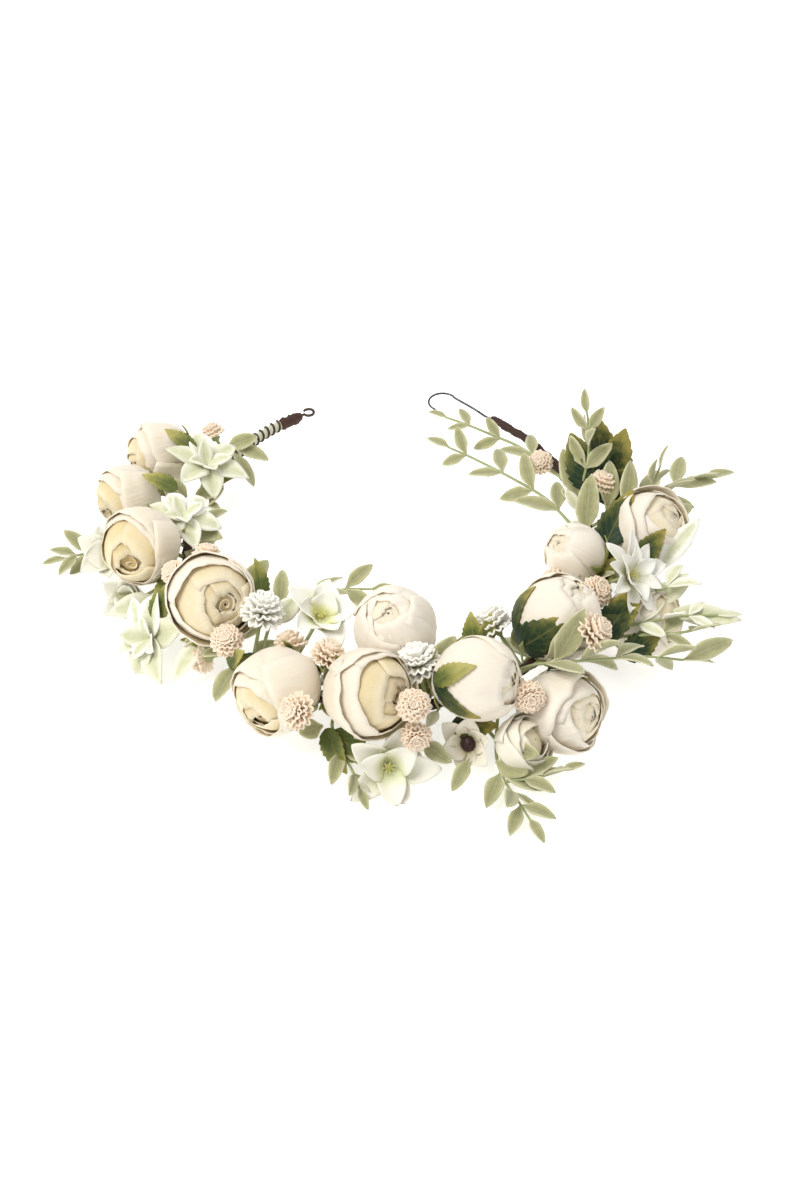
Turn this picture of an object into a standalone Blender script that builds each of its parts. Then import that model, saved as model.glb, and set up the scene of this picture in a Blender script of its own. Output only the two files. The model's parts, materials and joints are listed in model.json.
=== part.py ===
"""Flower crown: an open, wire-cored band wrapped in floral tape, with a closing hook at one end and
a bound eye at the other, dressed with artificial roses, mums, blossoms and leafy sprigs.

Lengths below are millimetres and angles are degrees; meshes are written in metres.
The origin is the centre of the head opening, on the table. +Z is up and -Y is the front.
A place on the band is given as (along, out, up): the angle from the front centre, positive
towards +X, the distance outwards from the wire, and the height above the table.
"""

import math

import bmesh
import bpy
from mathutils import Matrix, Quaternion, Vector

MM = 0.001
UP = Vector((0, 0, 1))

# Band: an open oval of stiff wire inside a tape wrap.
HALF_WIDTH_LEFT = 88.0
HALF_WIDTH_RIGHT = 83.0
HALF_DEPTH = 97.0
BAND_HEIGHT = 14.0
WIRE_RADIUS = 0.7
WRAP_RADIUS = 2.1
FIT_GAP = 0.3
LEFT_HINGE = -74.0
RIGHT_HINGE = 63.0
HINGE_GAP = 0.2
LEFT_END = -150.0
RIGHT_END = 147.0
BAND_STEP = 7.0
BAND_SIDES = 8

# Binding coil on the left end, eye in the wire's left end, hook on the right end.
BINDING_START = -128.0
BINDING_END = -148.5
BINDING_TURNS = 10
BINDING_RADIUS = 0.45
EYE_NECK = 3.0
EYE_RADIUS = 2.4
EYE_TURN = 300.0
HOOK_WIRE_RADIUS = 0.6
HOOK_CENTRE = Vector((22.0, 91.0, 17.0))
HOOK_RADIUS = 6.5
HOOK_FIRST = 25.0
HOOK_LAST = 235.0
HOOK_CLEARANCE = 0.8

# Flower heads and their stems.
STEM_RADIUS = 0.8
STEM_HANDLE = 0.45
STEM_FOOT_GAP = 0.75
CUP_GAP = 0.32
CUP_WALL = 0.6
ROSE_SIDES = 10
SMALL_SIDES = 8
STAR_SIDES = 12
STEM_SIDES = 5
STEM_STEPS = 4

# name: (along, out, up), radius, facing, root angle, shape
ROSES = {
    "rose_01": ((-112.0, 23.0, 24.0), 12.5, (-0.85, -0.3, 0.4), -112, "open"),
    "rose_02": ((-99.0, 28.0, 22.0), 12.0, (-0.75, -0.5, 0.3), -101, "open"),
    "rose_03": ((-79.5, 18.0, 30.0), 14.0, (-0.35, -0.65, 0.65), -83, "open"),
    "rose_04": ((-55.5, 0.5, 33.5), 15.5, (0.05, -0.7, 0.7), -54, "open"),
    "rose_05": ((-26.0, 13.0, 26.0), 14.5, (-0.35, -0.8, 0.2), -27, "open"),
    "rose_06": ((-6.0, 8.0, 31.0), 15.0, (0.35, -0.7, 0.6), -8, "open"),
    "rose_07": ((20.5, 7.0, 30.5), 14.5, (0.75, -0.4, 0.5), 17, "bud"),
    "rose_08": ((47.5, 3.5, 33.0), 15.0, (0.5, 0.2, 0.8), 45, "bud"),
    "rose_09": ((36.0, 24.5, 12.0), 14.0, (0.8, -0.5, 0.2), 35, "open"),
    "rose_10": ((68.0, 27.0, 11.0), 13.0, (0.9, -0.2, 0.4), 69, "open"),
    "rose_11": ((87.0, 22.5, 24.0), 15.0, (0.8, 0.2, 0.6), 87, "open"),
    "rose_12": ((75.5, -6.0, 27.0), 11.0, (-0.7, 0.3, 0.3), 76, "open"),
    "rose_13": ((0.5, -27.0, 30.5), 14.5, (0.0, 0.0, 1.0), 1, "open"),
}

# name: shape, root angle, then one (place, radius, facing or None) for each head on the spray
SPRAYS = {
    "mum_spray_1": ("mum", -123, [((-124.0, 9.0, 24.0), 5.0, None)]),
    "mum_spray_2": (
        "mum", -70, [((-73.0, -6.5, 29.5), 6.0, None), ((-68.5, 8.5, 31.0), 6.0, None)],
    ),
    "mum_spray_3": (
        "mum", -46, [((-43.0, 7.5, 30.0), 6.0, None), ((-51.5, 9.5, 10.0), 6.0, None)],
    ),
    "mum_spray_4": (
        "mum", -22,
        [((-30.5, -7.5, 27.0), 6.5, None), ((-18.5, -6.5, 31.0), 6.5, None),
         ((-18.0, 26.0, 33.5), 6.5, (-0.6, -0.5, 0.6))],
    ),
    "mum_spray_5": (
        "mum", 5, [((4.0, 19.0, 35.5), 6.0, None), ((4.5, 21.0, 20.5), 5.5, None)],
    ),
    "mum_spray_6": (
        "mum", 35, [((28.5, 22.0, 27.5), 6.0, None), ((45.0, 23.0, 41.5), 7.0, None)],
    ),
    "mum_spray_7": ("mum", 99, [((100.0, 6.5, 30.0), 5.5, None)]),
    "mum_spray_8": (
        "mum", 65, [((63.0, 8.0, 28.5), 6.0, None), ((65.5, -11.5, 24.5), 4.5, None)],
    ),
    "white_mum_1": ("mum", -40, [((-41.0, -8.5, 36.0), 8.0, None)]),
    "white_mum_2": ("mum", 9, [((7.0, -5.0, 32.0), 8.0, None)]),
    "white_mum_3": ("mum", 38, [((36.5, -15.5, 29.0), 7.0, None)]),
    "blossom_spray_1": (
        "blossom", -80,
        [((-86.0, 33.0, 14.0), 8.5, (-0.8, -0.5, 0.4)),
         ((-77.0, 25.5, 5.5), 7.5, (-0.7, -0.6, 0.4))],
    ),
    "blossom_2": ("blossom", -1, [((-1.0, 25.5, 8.0), 10.0, (0.1, -0.8, 0.6))]),
    "blossom_spray_3": (
        "blossom", 21,
        [((15.5, 19.5, 9.5), 9.0, (-0.3, -0.75, 0.6)), ((24.5, 30.0, 7.5), 8.0, (0.4, -0.8, 0.4))],
    ),
    "blossom_4": ("blossom", 71, [((68.0, 20.5, 34.5), 9.5, (0.6, -0.4, 0.7))]),
    "blossom_5": ("blossom", -30, [((-27.0, -23.0, 35.0), 9.0, (0.3, -0.2, 0.9))]),
    "mint_leaves_1": (
        "star", -97,
        [((-109.5, -2.0, 30.0), 10.0, (0.2, -0.1, 1.0)),
         ((-87.5, 0.5, 32.0), 9.0, (0.1, -0.2, 1.0))],
    ),
    "mint_leaves_2": ("star", -62, [((-62.0, 24.5, 9.5), 9.0, (-0.7, -0.6, 0.5))]),
}

# Sprigs: route from the band's surface to the tip, the share of the route that is bare,
# pairs of leaves, and the longest leaf's length.
SPRIGS = {
    "sprig_left": (
        [(-90.6, -1.5, 13), (-97, 0, 11), (-108, 4, 9), (-122, 4, 9), (-133, 1, 8), (-141, -3, 7)],
        0.5, 3, 15,
    ),
    "sprig_inner_front": (
        [(-52.5, -73.8, 14), (-50, -60, 16), (-44, -51, 18), (-30, -47, 20), (-18, -45, 22),
         (-10, -44, 23)],
        0.3, 4, 15,
    ),
    "sprig_front_left": (
        [(-21.5, -96.9, 13), (-24, -104, 12), (-21, -114, 11), (-16, -123, 7), (-13, -130, 4)],
        0.55, 2, 12,
    ),
    "sprig_front_right": (
        [(41.4, -87.2, 12.6), (41, -94, 10.8), (40, -102, 8.8), (39.5, -115, 5.5), (42, -126, 5),
         (47, -137, 5), (51, -145, 4)],
        0.62, 3, 15,
    ),
    "sprig_right_long": (
        [(44.5, -84.2, 15.5), (48, -87, 24), (56, -89, 30), (75, -89, 30), (96, -88, 27),
         (112, -86, 21)],
        0.55, 3, 16,
    ),
    "sprig_right_high": (
        [(85.1, 8.5, 14.5), (93, 12, 17), (103, 14, 20), (114, 19, 22), (124, 26, 24),
         (134, 28, 25)],
        0.45, 4, 15,
    ),
    "sprig_upright": (
        [(80.3, 24, 16.7), (81, 25, 24), (83, 29, 34), (83, 33, 45), (82, 38, 53)],
        0.42, 3, 14,
    ),
    "sprig_inner_right": (
        [(79.9, 3.4, 14), (75, 10, 15), (65, 24, 17), (50, 37, 18), (34, 50, 18), (24, 57, 18)],
        0.3, 4, 16,
    ),
}
BRANCH = [(42, -127, 5), (53, -127, 7), (64, -124, 8)]
SPRIG_STEM_RADIUS = 0.75
LEAF_THICKNESS = 0.8
LEAF_ANGLE = 42.0
LEAF_SLENDERNESS = 0.36

# Body of each node that doesn't ride on the front section, and the pivot of each body.
LEFT_ARM_NODES = ["band_wire_left", "band_wrap_left", "tip_binding", "rose_01", "rose_02", "rose_03"]
LEFT_ARM_NODES += ["mum_spray_1", "blossom_spray_1", "mint_leaves_1"]
RIGHT_ARM_NODES = ["band_wire_right", "band_wrap_right", "rose_10", "rose_11", "rose_12"]
RIGHT_ARM_NODES += ["mum_spray_7", "mum_spray_8", "blossom_4"]
SPRIG_PARENTS = {
    "sprig_left": "left_arm",
    "sprig_front_right": "front",
    "sprig_right_long": "front",
    "sprig_right_high": "right_arm",
    "sprig_upright": "right_arm",
    "sprig_inner_right": "right_arm",
}

COLOURS = {
    "rose_petal": ((0.90, 0.84, 0.70), 0.7),
    "rose_leaf": ((0.16, 0.22, 0.09), 0.6),
    "blush_plastic": ((0.88, 0.68, 0.56), 0.6),
    "white_plastic": ((0.93, 0.93, 0.91), 0.6),
    "blossom_petal": ((0.93, 0.92, 0.86), 0.7),
    "mint_leaf": ((0.78, 0.83, 0.70), 0.9),
    "sage_leaf": ((0.52, 0.59, 0.40), 0.9),
    "floral_tape": ((0.14, 0.09, 0.06), 0.8),
    "dark_wire": ((0.08, 0.05, 0.04), 0.5),
}

pivots = {}


def clear_scene():
    for scene_object in list(bpy.data.objects):
        bpy.data.objects.remove(scene_object)


def material(slot):
    found = bpy.data.materials.get(slot)
    if found:
        return found
    colour, roughness = COLOURS[slot]
    made = bpy.data.materials.new(slot)
    made.use_nodes = True
    shader = made.node_tree.nodes["Principled BSDF"]
    shader.inputs["Base Color"].default_value = (*colour, 1)
    shader.inputs["Roughness"].default_value = roughness
    shader.inputs["Metallic"].default_value = 0.0
    return made


def band_place(along, out=0.0, up=BAND_HEIGHT):
    """World position of a place given along the band, outwards from it and above the table."""
    angle = math.radians(along)
    half_width = HALF_WIDTH_LEFT if along < 0 else HALF_WIDTH_RIGHT
    on_wire = Vector((half_width * math.sin(angle), -HALF_DEPTH * math.cos(angle), 0))
    normal = Vector((math.sin(angle) / half_width, -math.cos(angle) / HALF_DEPTH, 0)).normalized()
    return on_wire + normal * out + UP * up


def band_route(first, last):
    steps = max(2, round(abs(last - first) / BAND_STEP))
    return [band_place(first + (last - first) * i / steps) for i in range(steps + 1)]


def bezier(start, middle, end, steps):
    """Points of a quadratic curve."""
    points = []
    for i in range(steps + 1):
        t = i / steps
        points.append(start * (1 - t) ** 2 + middle * (2 * t * (1 - t)) + end * t * t)
    return points


def smooth_route(corners, steps=2):
    """Catmull-Rom curve through the given corners."""
    corners = [Vector(corner) for corner in corners]
    padded = [corners[0] * 2 - corners[1]] + corners + [corners[-1] * 2 - corners[-2]]
    points = []
    for a, b, c, d in zip(padded, padded[1:], padded[2:], padded[3:]):
        for i in range(steps):
            t = i / steps
            cubic = (b * 3 - a - c * 3 + d) * t ** 3
            points.append((b * 2 + (c - a) * t + (a * 2 - b * 5 + c * 4 - d) * t * t + cubic) / 2)
    return points + [corners[-1]]


def frames(points):
    """(tangent, side, top) at each point of a route, turning as little as possible."""
    tangents = []
    for i in range(len(points)):
        ahead = points[min(i + 1, len(points) - 1)]
        behind = points[max(i - 1, 0)]
        tangents.append((ahead - behind).normalized())
    side = tangents[0].cross(UP)
    if side.length < 0.1:
        side = tangents[0].cross(Vector((1, 0, 0)))
    side.normalize()
    found = []
    for i, tangent in enumerate(tangents):
        if i:
            side = tangents[i - 1].rotation_difference(tangent) @ side
        side = (side - tangent * side.dot(tangent)).normalized()
        found.append((tangent, side, side.cross(tangent)))
    return found


def circle(centre, side, top, radius, sides, lobes=0, depth=0.0):
    """Ring of points; with lobes it is scalloped inwards by the given share of its radius."""
    ring = []
    for i in range(sides):
        angle = 2 * math.pi * i / sides
        reach = radius * (1 - depth * (1 - math.cos(lobes * angle)) / 2)
        ring.append(centre + side * (reach * math.cos(angle)) + top * (reach * math.sin(angle)))
    return ring


def loft(rings, closed_loop=False):
    """Closed solid through rings of points, each of one size or a single end point."""
    mesh = bmesh.new()
    rows = [[mesh.verts.new(point) for point in ring] for ring in rings]
    pairs = list(zip(rows, rows[1:]))
    if closed_loop:
        pairs.append((rows[-1], rows[0]))
    for first, second in pairs:
        count = max(len(first), len(second))
        for i in range(count):
            j = (i + 1) % count
            if len(first) == 1:
                mesh.faces.new((first[0], second[j], second[i]))
            elif len(second) == 1:
                mesh.faces.new((first[i], first[j], second[0]))
            else:
                mesh.faces.new((first[i], first[j], second[j], second[i]))
    if not closed_loop:
        for row in (rows[0], rows[-1]):
            if len(row) > 1:
                mesh.faces.new(row)
    bmesh.ops.recalc_face_normals(mesh, faces=mesh.faces)
    return mesh


def tube(points, radius, sides=STEM_SIDES):
    rings = [
        circle(point, side, top, radius, sides)
        for point, (_, side, top) in zip(points, frames(points))
    ]
    return loft(rings)


def sleeve(points, outer, inner, sides=BAND_SIDES):
    """Open-ended tube wall along a route."""
    along = list(zip(points, frames(points)))
    outside = [circle(point, side, top, outer, sides) for point, (_, side, top) in along]
    inside = [circle(point, side, top, inner, sides) for point, (_, side, top) in along]
    return loft(outside + inside[::-1], closed_loop=True)


def turned(centre, axis, profile, sides, lobes=0):
    """Solid of revolution about an axis. Profile points are (radius, height, lobe depth)."""
    axis = axis.normalized()
    side = axis.cross(UP)
    if side.length < 0.1:
        side = Vector((1, 0, 0))
    side.normalize()
    top = side.cross(axis)
    rings = []
    for radius, height, depth in profile:
        middle = centre + axis * height
        if radius == 0:
            rings.append([middle])
        else:
            rings.append(circle(middle, side, top, radius, sides, lobes, depth))
    return loft(rings)


def leaf(base, tip, width, normal, sag=0.12):
    """Thin, slightly folded, pointed leaf from base to tip."""
    span = tip - base
    side = span.cross(normal).normalized()
    over = side.cross(span).normalized()
    half = LEAF_THICKNESS / 2
    rings = []
    for share, wide in ((0.0, 0.25), (0.35, 1.0), (0.75, 0.72)):
        middle = base + span * share + over * (span.length * sag * math.sin(math.pi * share))
        reach = side * (width * wide / 2)
        fold = over * (width * wide * 0.12)
        rings.append([middle + reach + fold, middle + over * half, middle - reach + fold,
                      middle - over * half])
    rings.append([tip])
    return loft(rings)


def temporary_object(mesh):
    data = bpy.data.meshes.new("piece")
    mesh.to_mesh(data)
    mesh.free()
    made = bpy.data.objects.new("piece", data)
    bpy.context.scene.collection.objects.link(made)
    return made


def fuse(meshes):
    """One bmesh: the Boolean union of several closed ones."""
    pieces = [temporary_object(mesh) for mesh in meshes]
    base = pieces[0]
    for other in pieces[1:]:
        union = base.modifiers.new("union", "BOOLEAN")
        union.operation = "UNION"
        union.solver = "EXACT"
        union.object = other
    bpy.context.view_layer.update()
    graph = bpy.context.evaluated_depsgraph_get()
    merged = bmesh.new()
    merged.from_object(base, graph)
    for piece in pieces:
        bpy.data.objects.remove(piece)
    return merged


def cut_at_table(mesh):
    """Flattens whatever would reach below the table, leaving a flat face at height zero."""
    if min(vertex.co.z for vertex in mesh.verts) >= 0:
        return
    geometry = mesh.verts[:] + mesh.edges[:] + mesh.faces[:]
    cut = bmesh.ops.bisect_plane(
        mesh, geom=geometry, plane_co=(0, 0, 0), plane_no=(0, 0, 1), clear_inner=True
    )
    rim = [item for item in cut["geom_cut"] if isinstance(item, bmesh.types.BMEdge)]
    bmesh.ops.contextual_create(mesh, geom=rim)
    bmesh.ops.recalc_face_normals(mesh, faces=mesh.faces)


def add_pivot(body, position, parent=None):
    empty = bpy.data.objects.new("pivot_" + body, None)
    empty.empty_display_size = 0.01
    bpy.context.scene.collection.objects.link(empty)
    offset = Vector(position)
    if parent:
        empty.parent = pivots[parent][0]
        offset = offset - pivots[parent][1]
    empty.location = offset * MM
    pivots[body] = (empty, Vector(position))


def add_node(name, mesh, slot, body):
    """Turns a bmesh in millimetres into a named object under its body's pivot."""
    cut_at_table(mesh)
    empty, origin = pivots[body]
    mesh.transform(Matrix.Scale(MM, 4) @ Matrix.Translation(-origin))
    data = bpy.data.meshes.new(name)
    mesh.to_mesh(data)
    mesh.free()
    data.shade_smooth()
    data.set_sharp_from_angle(angle=math.radians(40))
    data.materials.append(material(slot))
    made = bpy.data.objects.new(name, data)
    made.parent = empty
    bpy.context.scene.collection.objects.link(made)


def body_of(name):
    if name in LEFT_ARM_NODES:
        return "left_arm"
    if name in RIGHT_ARM_NODES:
        return "right_arm"
    return "front"


def add_pivots():
    add_pivot("front", (0, 0, 0))
    add_pivot("left_arm", band_place(LEFT_HINGE), "front")
    add_pivot("right_arm", band_place(RIGHT_HINGE), "front")
    add_pivot("closing_hook", band_place(RIGHT_END + 1), "right_arm")
    for sprig, parent in SPRIG_PARENTS.items():
        add_pivot(sprig, SPRIGS[sprig][0][0], parent)


def add_band():
    sections = {
        "left": (LEFT_END, LEFT_HINGE - HINGE_GAP),
        "front": (LEFT_HINGE + HINGE_GAP, RIGHT_HINGE - HINGE_GAP),
        "right": (RIGHT_HINGE + HINGE_GAP, RIGHT_END),
    }
    for section, (first, last) in sections.items():
        route = band_route(first, last)
        name = "band_wrap_" + section
        wall = sleeve(route, WRAP_RADIUS, WIRE_RADIUS + FIT_GAP)
        add_node(name, wall, "floral_tape", body_of(name))
        if section == "left":
            route = end_eye(route[0], (route[0] - route[1]).normalized())[::-1] + route
        name = "band_wire_" + section
        add_node(name, tube(route, WIRE_RADIUS), "dark_wire", body_of(name))


def end_eye(start, heading):
    """Open eye bent in the wire's end, lying level."""
    side = heading.cross(UP)
    centre = start + heading * (EYE_NECK + EYE_RADIUS)
    steps = 12
    points = [start + heading * (EYE_NECK * 0.5)]
    for i in range(steps + 1):
        angle = math.radians(180 - EYE_TURN * i / steps)
        points.append(centre + (heading * math.cos(angle) + side * math.sin(angle)) * EYE_RADIUS)
    return points


def add_binding():
    """Wire wound in a coil over the left end of the wrap."""
    steps_per_turn = 8
    count = BINDING_TURNS * steps_per_turn
    core = [
        band_place(BINDING_START + (BINDING_END - BINDING_START) * i / count)
        for i in range(count + 1)
    ]
    radius = WRAP_RADIUS + FIT_GAP + BINDING_RADIUS
    route = []
    for i, (point, (_, side, top)) in enumerate(zip(core, frames(core))):
        angle = 2 * math.pi * i / steps_per_turn
        route.append(point + side * (radius * math.cos(angle)) + top * (radius * math.sin(angle)))
    add_node("tip_binding", tube(route, BINDING_RADIUS, 4), "dark_wire", "left_arm")


def add_hook():
    """Thin wire hook that reaches out of the right end of the wrap."""
    end = band_place(RIGHT_END)
    heading = (end - band_place(RIGHT_END - 1)).normalized()
    start = end + heading * HOOK_CLEARANCE
    arc = []
    for i in range(9):
        angle = math.radians(HOOK_FIRST + (HOOK_LAST - HOOK_FIRST) * i / 8)
        arc.append(HOOK_CENTRE + Vector((math.cos(angle), math.sin(angle), 0)) * HOOK_RADIUS)
    route = smooth_route([start, start + heading * 5, (start + arc[0]) / 2] + arc, 2)
    add_node("closing_hook", tube(route, HOOK_WIRE_RADIUS), "dark_wire", "closing_hook")


def stem_foot(root, target):
    """Point just clear of the band's wrap, on the side nearest the target."""
    wire = band_place(root)
    along = (band_place(root + 1) - band_place(root - 1)).normalized()
    across = target - wire
    across -= along * across.dot(along)
    return wire + across.normalized() * (WRAP_RADIUS + STEM_FOOT_GAP)


def stem_route(back, facing, foot):
    """Curve from the back of a head to its foot on the band."""
    handle = back - facing * ((back - foot).length * STEM_HANDLE)
    return bezier(back, handle, foot, STEM_STEPS)


def rose_profile(radius, shape):
    outside = [
        (0, -0.92, 0), (0.55, -0.80, 0), (0.86, -0.44, 0), (0.98, 0.02, 0.04),
        (0.90, 0.44, 0.08),
    ]
    if shape == "open":
        inside = [(0.70, 0.70, 0.10), (0.58, 0.66, 0.06), (0.48, 0.46, 0), (0.26, 0.60, 0), (0, 0.64, 0)]
    else:
        inside = [(0.66, 0.72, 0.08), (0.34, 0.90, 0.05), (0, 0.96, 0)]
    return [(wide * radius, high * radius, depth) for wide, high, depth in outside + inside]


def calyx_mesh(centre, radius, facing, root):
    """Cup under a rose head that runs on into its stem."""
    facing = facing.normalized()
    cup = [(0, -0.92, CUP_GAP), (0.55, -0.80, CUP_GAP), (0.72, -0.61, CUP_GAP)]
    cup += [(0.72, -0.61, CUP_GAP + CUP_WALL), (0.55, -0.80, CUP_GAP + CUP_WALL)]
    profile = []
    for wide, high, proud in cup:
        length = math.hypot(wide, high)
        scale = radius + proud * 1.05 / length
        profile.append((wide * scale, high * scale, 0))
    bottom = -0.92 * radius - CUP_GAP - CUP_WALL
    profile.append((STEM_RADIUS * 1.6, bottom - 0.6, 0))
    profile.append((0, bottom - 0.9, 0))
    dish = turned(centre, facing, profile, ROSE_SIDES)
    back = centre + facing * (bottom - 0.2)
    foot = stem_foot(root, back)
    return fuse([dish, tube(stem_route(back, facing, foot), STEM_RADIUS)])


def add_roses():
    for name, (place, radius, facing, root, shape) in ROSES.items():
        centre = band_place(*place)
        facing = Vector(facing).normalized()
        head = turned(centre, facing, rose_profile(radius, shape), ROSE_SIDES, lobes=5)
        add_node(name, head, "rose_petal", body_of(name))
        add_node(name + "_calyx", calyx_mesh(centre, radius, facing, root), "rose_leaf", body_of(name))


HEAD_PROFILES = {
    "mum": [
        (0, -0.7, 0), (0.5, -0.62, 0), (0.96, -0.1, 0), (0.84, 0.36, 0), (0.45, 0.66, 0), (0, 0.74, 0),
    ],
    "blossom": [
        (0, -0.6, 0), (0.3, -0.55, 0), (0.9, 0.0, 0.3), (0.92, 0.2, 0.3), (0.4, -0.1, 0), (0, -0.25, 0),
    ],
    "star": [
        (0, -0.3, 0), (0.25, -0.25, 0), (0.97, 0.1, 0.62), (0.92, 0.2, 0.62), (0.25, 0.0, 0), (0, 0, 0),
    ],
}
HEAD_LOBES = {"mum": (SMALL_SIDES, 0), "blossom": (ROSE_SIDES, 5), "star": (STAR_SIDES, 6)}
HEAD_SLOTS = {
    "mum_spray": "blush_plastic",
    "white_mum": "white_plastic",
    "blossom": "blossom_petal",
    "mint_leaves": "mint_leaf",
}


def head_and_stem(shape, place, radius, facing, foot):
    centre = band_place(*place)
    facing = (Vector(facing) if facing else centre - foot).normalized()
    profile = [(wide * radius, high * radius, depth) for wide, high, depth in HEAD_PROFILES[shape]]
    sides, lobes = HEAD_LOBES[shape]
    head = turned(centre, facing, profile, sides, lobes)
    back = centre + facing * (profile[0][1] + 0.4)
    return [head, tube(stem_route(back, facing, foot), STEM_RADIUS)]


def add_sprays():
    for name, (shape, root, heads) in SPRAYS.items():
        middle = sum((band_place(*place) for place, _, _ in heads), Vector()) / len(heads)
        foot = stem_foot(root, middle)
        pieces = []
        for place, radius, facing in heads:
            pieces += head_and_stem(shape, place, radius, facing, foot)
        slot = next(slot for start, slot in HEAD_SLOTS.items() if name.startswith(start))
        add_node(name, fuse(pieces), slot, body_of(name))


def sprig_pieces(corners, bare, pairs, length):
    """Stem with leaves in pairs and one at its tip. The leaves get shorter towards the tip."""
    route = smooth_route(corners)
    pieces = [tube(route, SPRIG_STEM_RADIUS)]
    turns = frames(route)
    for pair in range(pairs):
        share = bare + (1 - bare) * pair / pairs
        index = round(share * (len(route) - 1))
        tangent, side, top = turns[index]
        if pair % 2:
            side = (side + top).normalized()
        reach = length * (1 - 0.12 * pair)
        angle = math.radians(LEAF_ANGLE)
        for hand in (-1, 1):
            lean = tangent * math.cos(angle) + side * (hand * math.sin(angle))
            pieces.append(leaf(route[index], route[index] + lean * reach, reach * LEAF_SLENDERNESS, top))
    tangent, side, top = turns[-1]
    base = route[-1] - tangent * SPRIG_STEM_RADIUS
    reach = length * 0.7
    pieces.append(leaf(base, base + tangent * reach, reach * LEAF_SLENDERNESS, top))
    return pieces


def add_sprigs():
    for name, (corners, bare, pairs, length) in SPRIGS.items():
        pieces = sprig_pieces(corners, bare, pairs, length)
        if name == "sprig_front_right":
            pieces += sprig_pieces(BRANCH, 0.3, 2, 13)
        body = name if name in SPRIG_PARENTS else "front"
        add_node(name, fuse(pieces), "sage_leaf", body)


def build():
    clear_scene()
    add_pivots()
    add_band()
    add_binding()
    add_hook()
    add_roses()
    add_sprays()
    add_sprigs()


build()
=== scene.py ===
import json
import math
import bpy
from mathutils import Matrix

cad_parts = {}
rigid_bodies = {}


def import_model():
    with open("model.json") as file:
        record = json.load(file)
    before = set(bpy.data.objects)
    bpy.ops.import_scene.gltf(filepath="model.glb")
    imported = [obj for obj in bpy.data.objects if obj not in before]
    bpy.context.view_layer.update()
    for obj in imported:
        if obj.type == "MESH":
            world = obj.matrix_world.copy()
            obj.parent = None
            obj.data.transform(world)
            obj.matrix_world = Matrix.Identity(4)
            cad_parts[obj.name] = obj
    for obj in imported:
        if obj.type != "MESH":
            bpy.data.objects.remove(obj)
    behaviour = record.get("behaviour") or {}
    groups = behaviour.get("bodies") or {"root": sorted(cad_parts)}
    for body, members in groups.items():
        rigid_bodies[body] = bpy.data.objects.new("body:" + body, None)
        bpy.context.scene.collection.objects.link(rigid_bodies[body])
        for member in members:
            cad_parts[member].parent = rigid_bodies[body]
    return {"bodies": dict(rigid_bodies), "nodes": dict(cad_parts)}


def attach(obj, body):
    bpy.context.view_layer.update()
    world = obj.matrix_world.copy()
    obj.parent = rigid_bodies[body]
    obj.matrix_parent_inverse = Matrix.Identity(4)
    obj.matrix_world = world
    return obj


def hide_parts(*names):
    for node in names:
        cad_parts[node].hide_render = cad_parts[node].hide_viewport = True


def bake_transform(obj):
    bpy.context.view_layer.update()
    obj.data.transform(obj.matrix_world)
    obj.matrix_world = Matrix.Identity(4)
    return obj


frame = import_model()

# Looks of the flower crown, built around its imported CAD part, in the same frame. Lengths in the tables
# are millimetres and angles are degrees; meshes are written in metres. A place on the band is given as
# (along, out, up): the angle from the front centre, positive towards +X, the distance outwards from
# the wire, and the height above the table.

import zlib

import bpy
import numpy as np
from mathutils import Vector

MM = 0.001
# Nothing lies closer to the table than the gap; what would is eased up within the soft height.
TABLE_GAP = 0.3
TABLE_SOFT = 1.5
UP = np.array((0.0, 0.0, 1.0))


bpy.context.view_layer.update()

# Band, as in the CAD.
HALF_WIDTH_LEFT = 88.0
HALF_WIDTH_RIGHT = 83.0
HALF_DEPTH = 97.0
BAND_HEIGHT = 14.0
WRAP_RADIUS = 2.1
STEM_RADIUS = 0.8
STEM_STEPS = 12
STEM_FOOT_OUT = WRAP_RADIUS - 0.75
STEM_HANDLE = 0.45
LEFT_HINGE = -74.0
RIGHT_HINGE = 63.0
BLEND_REACH = 6.0
LEFT_END = -150.0
RIGHT_END = 147.0
PALE_FROM = -123.0
BINDING_START = -128.0
BINDING_END = -148.5
BINDING_TURNS = 10
BINDING_RADIUS = 0.5
HOOK_CENTRE = np.array((22.0, 91.0, 17.0))
HOOK_RADIUS = 6.5
HOOK_WIRE_RADIUS = 0.55

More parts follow.
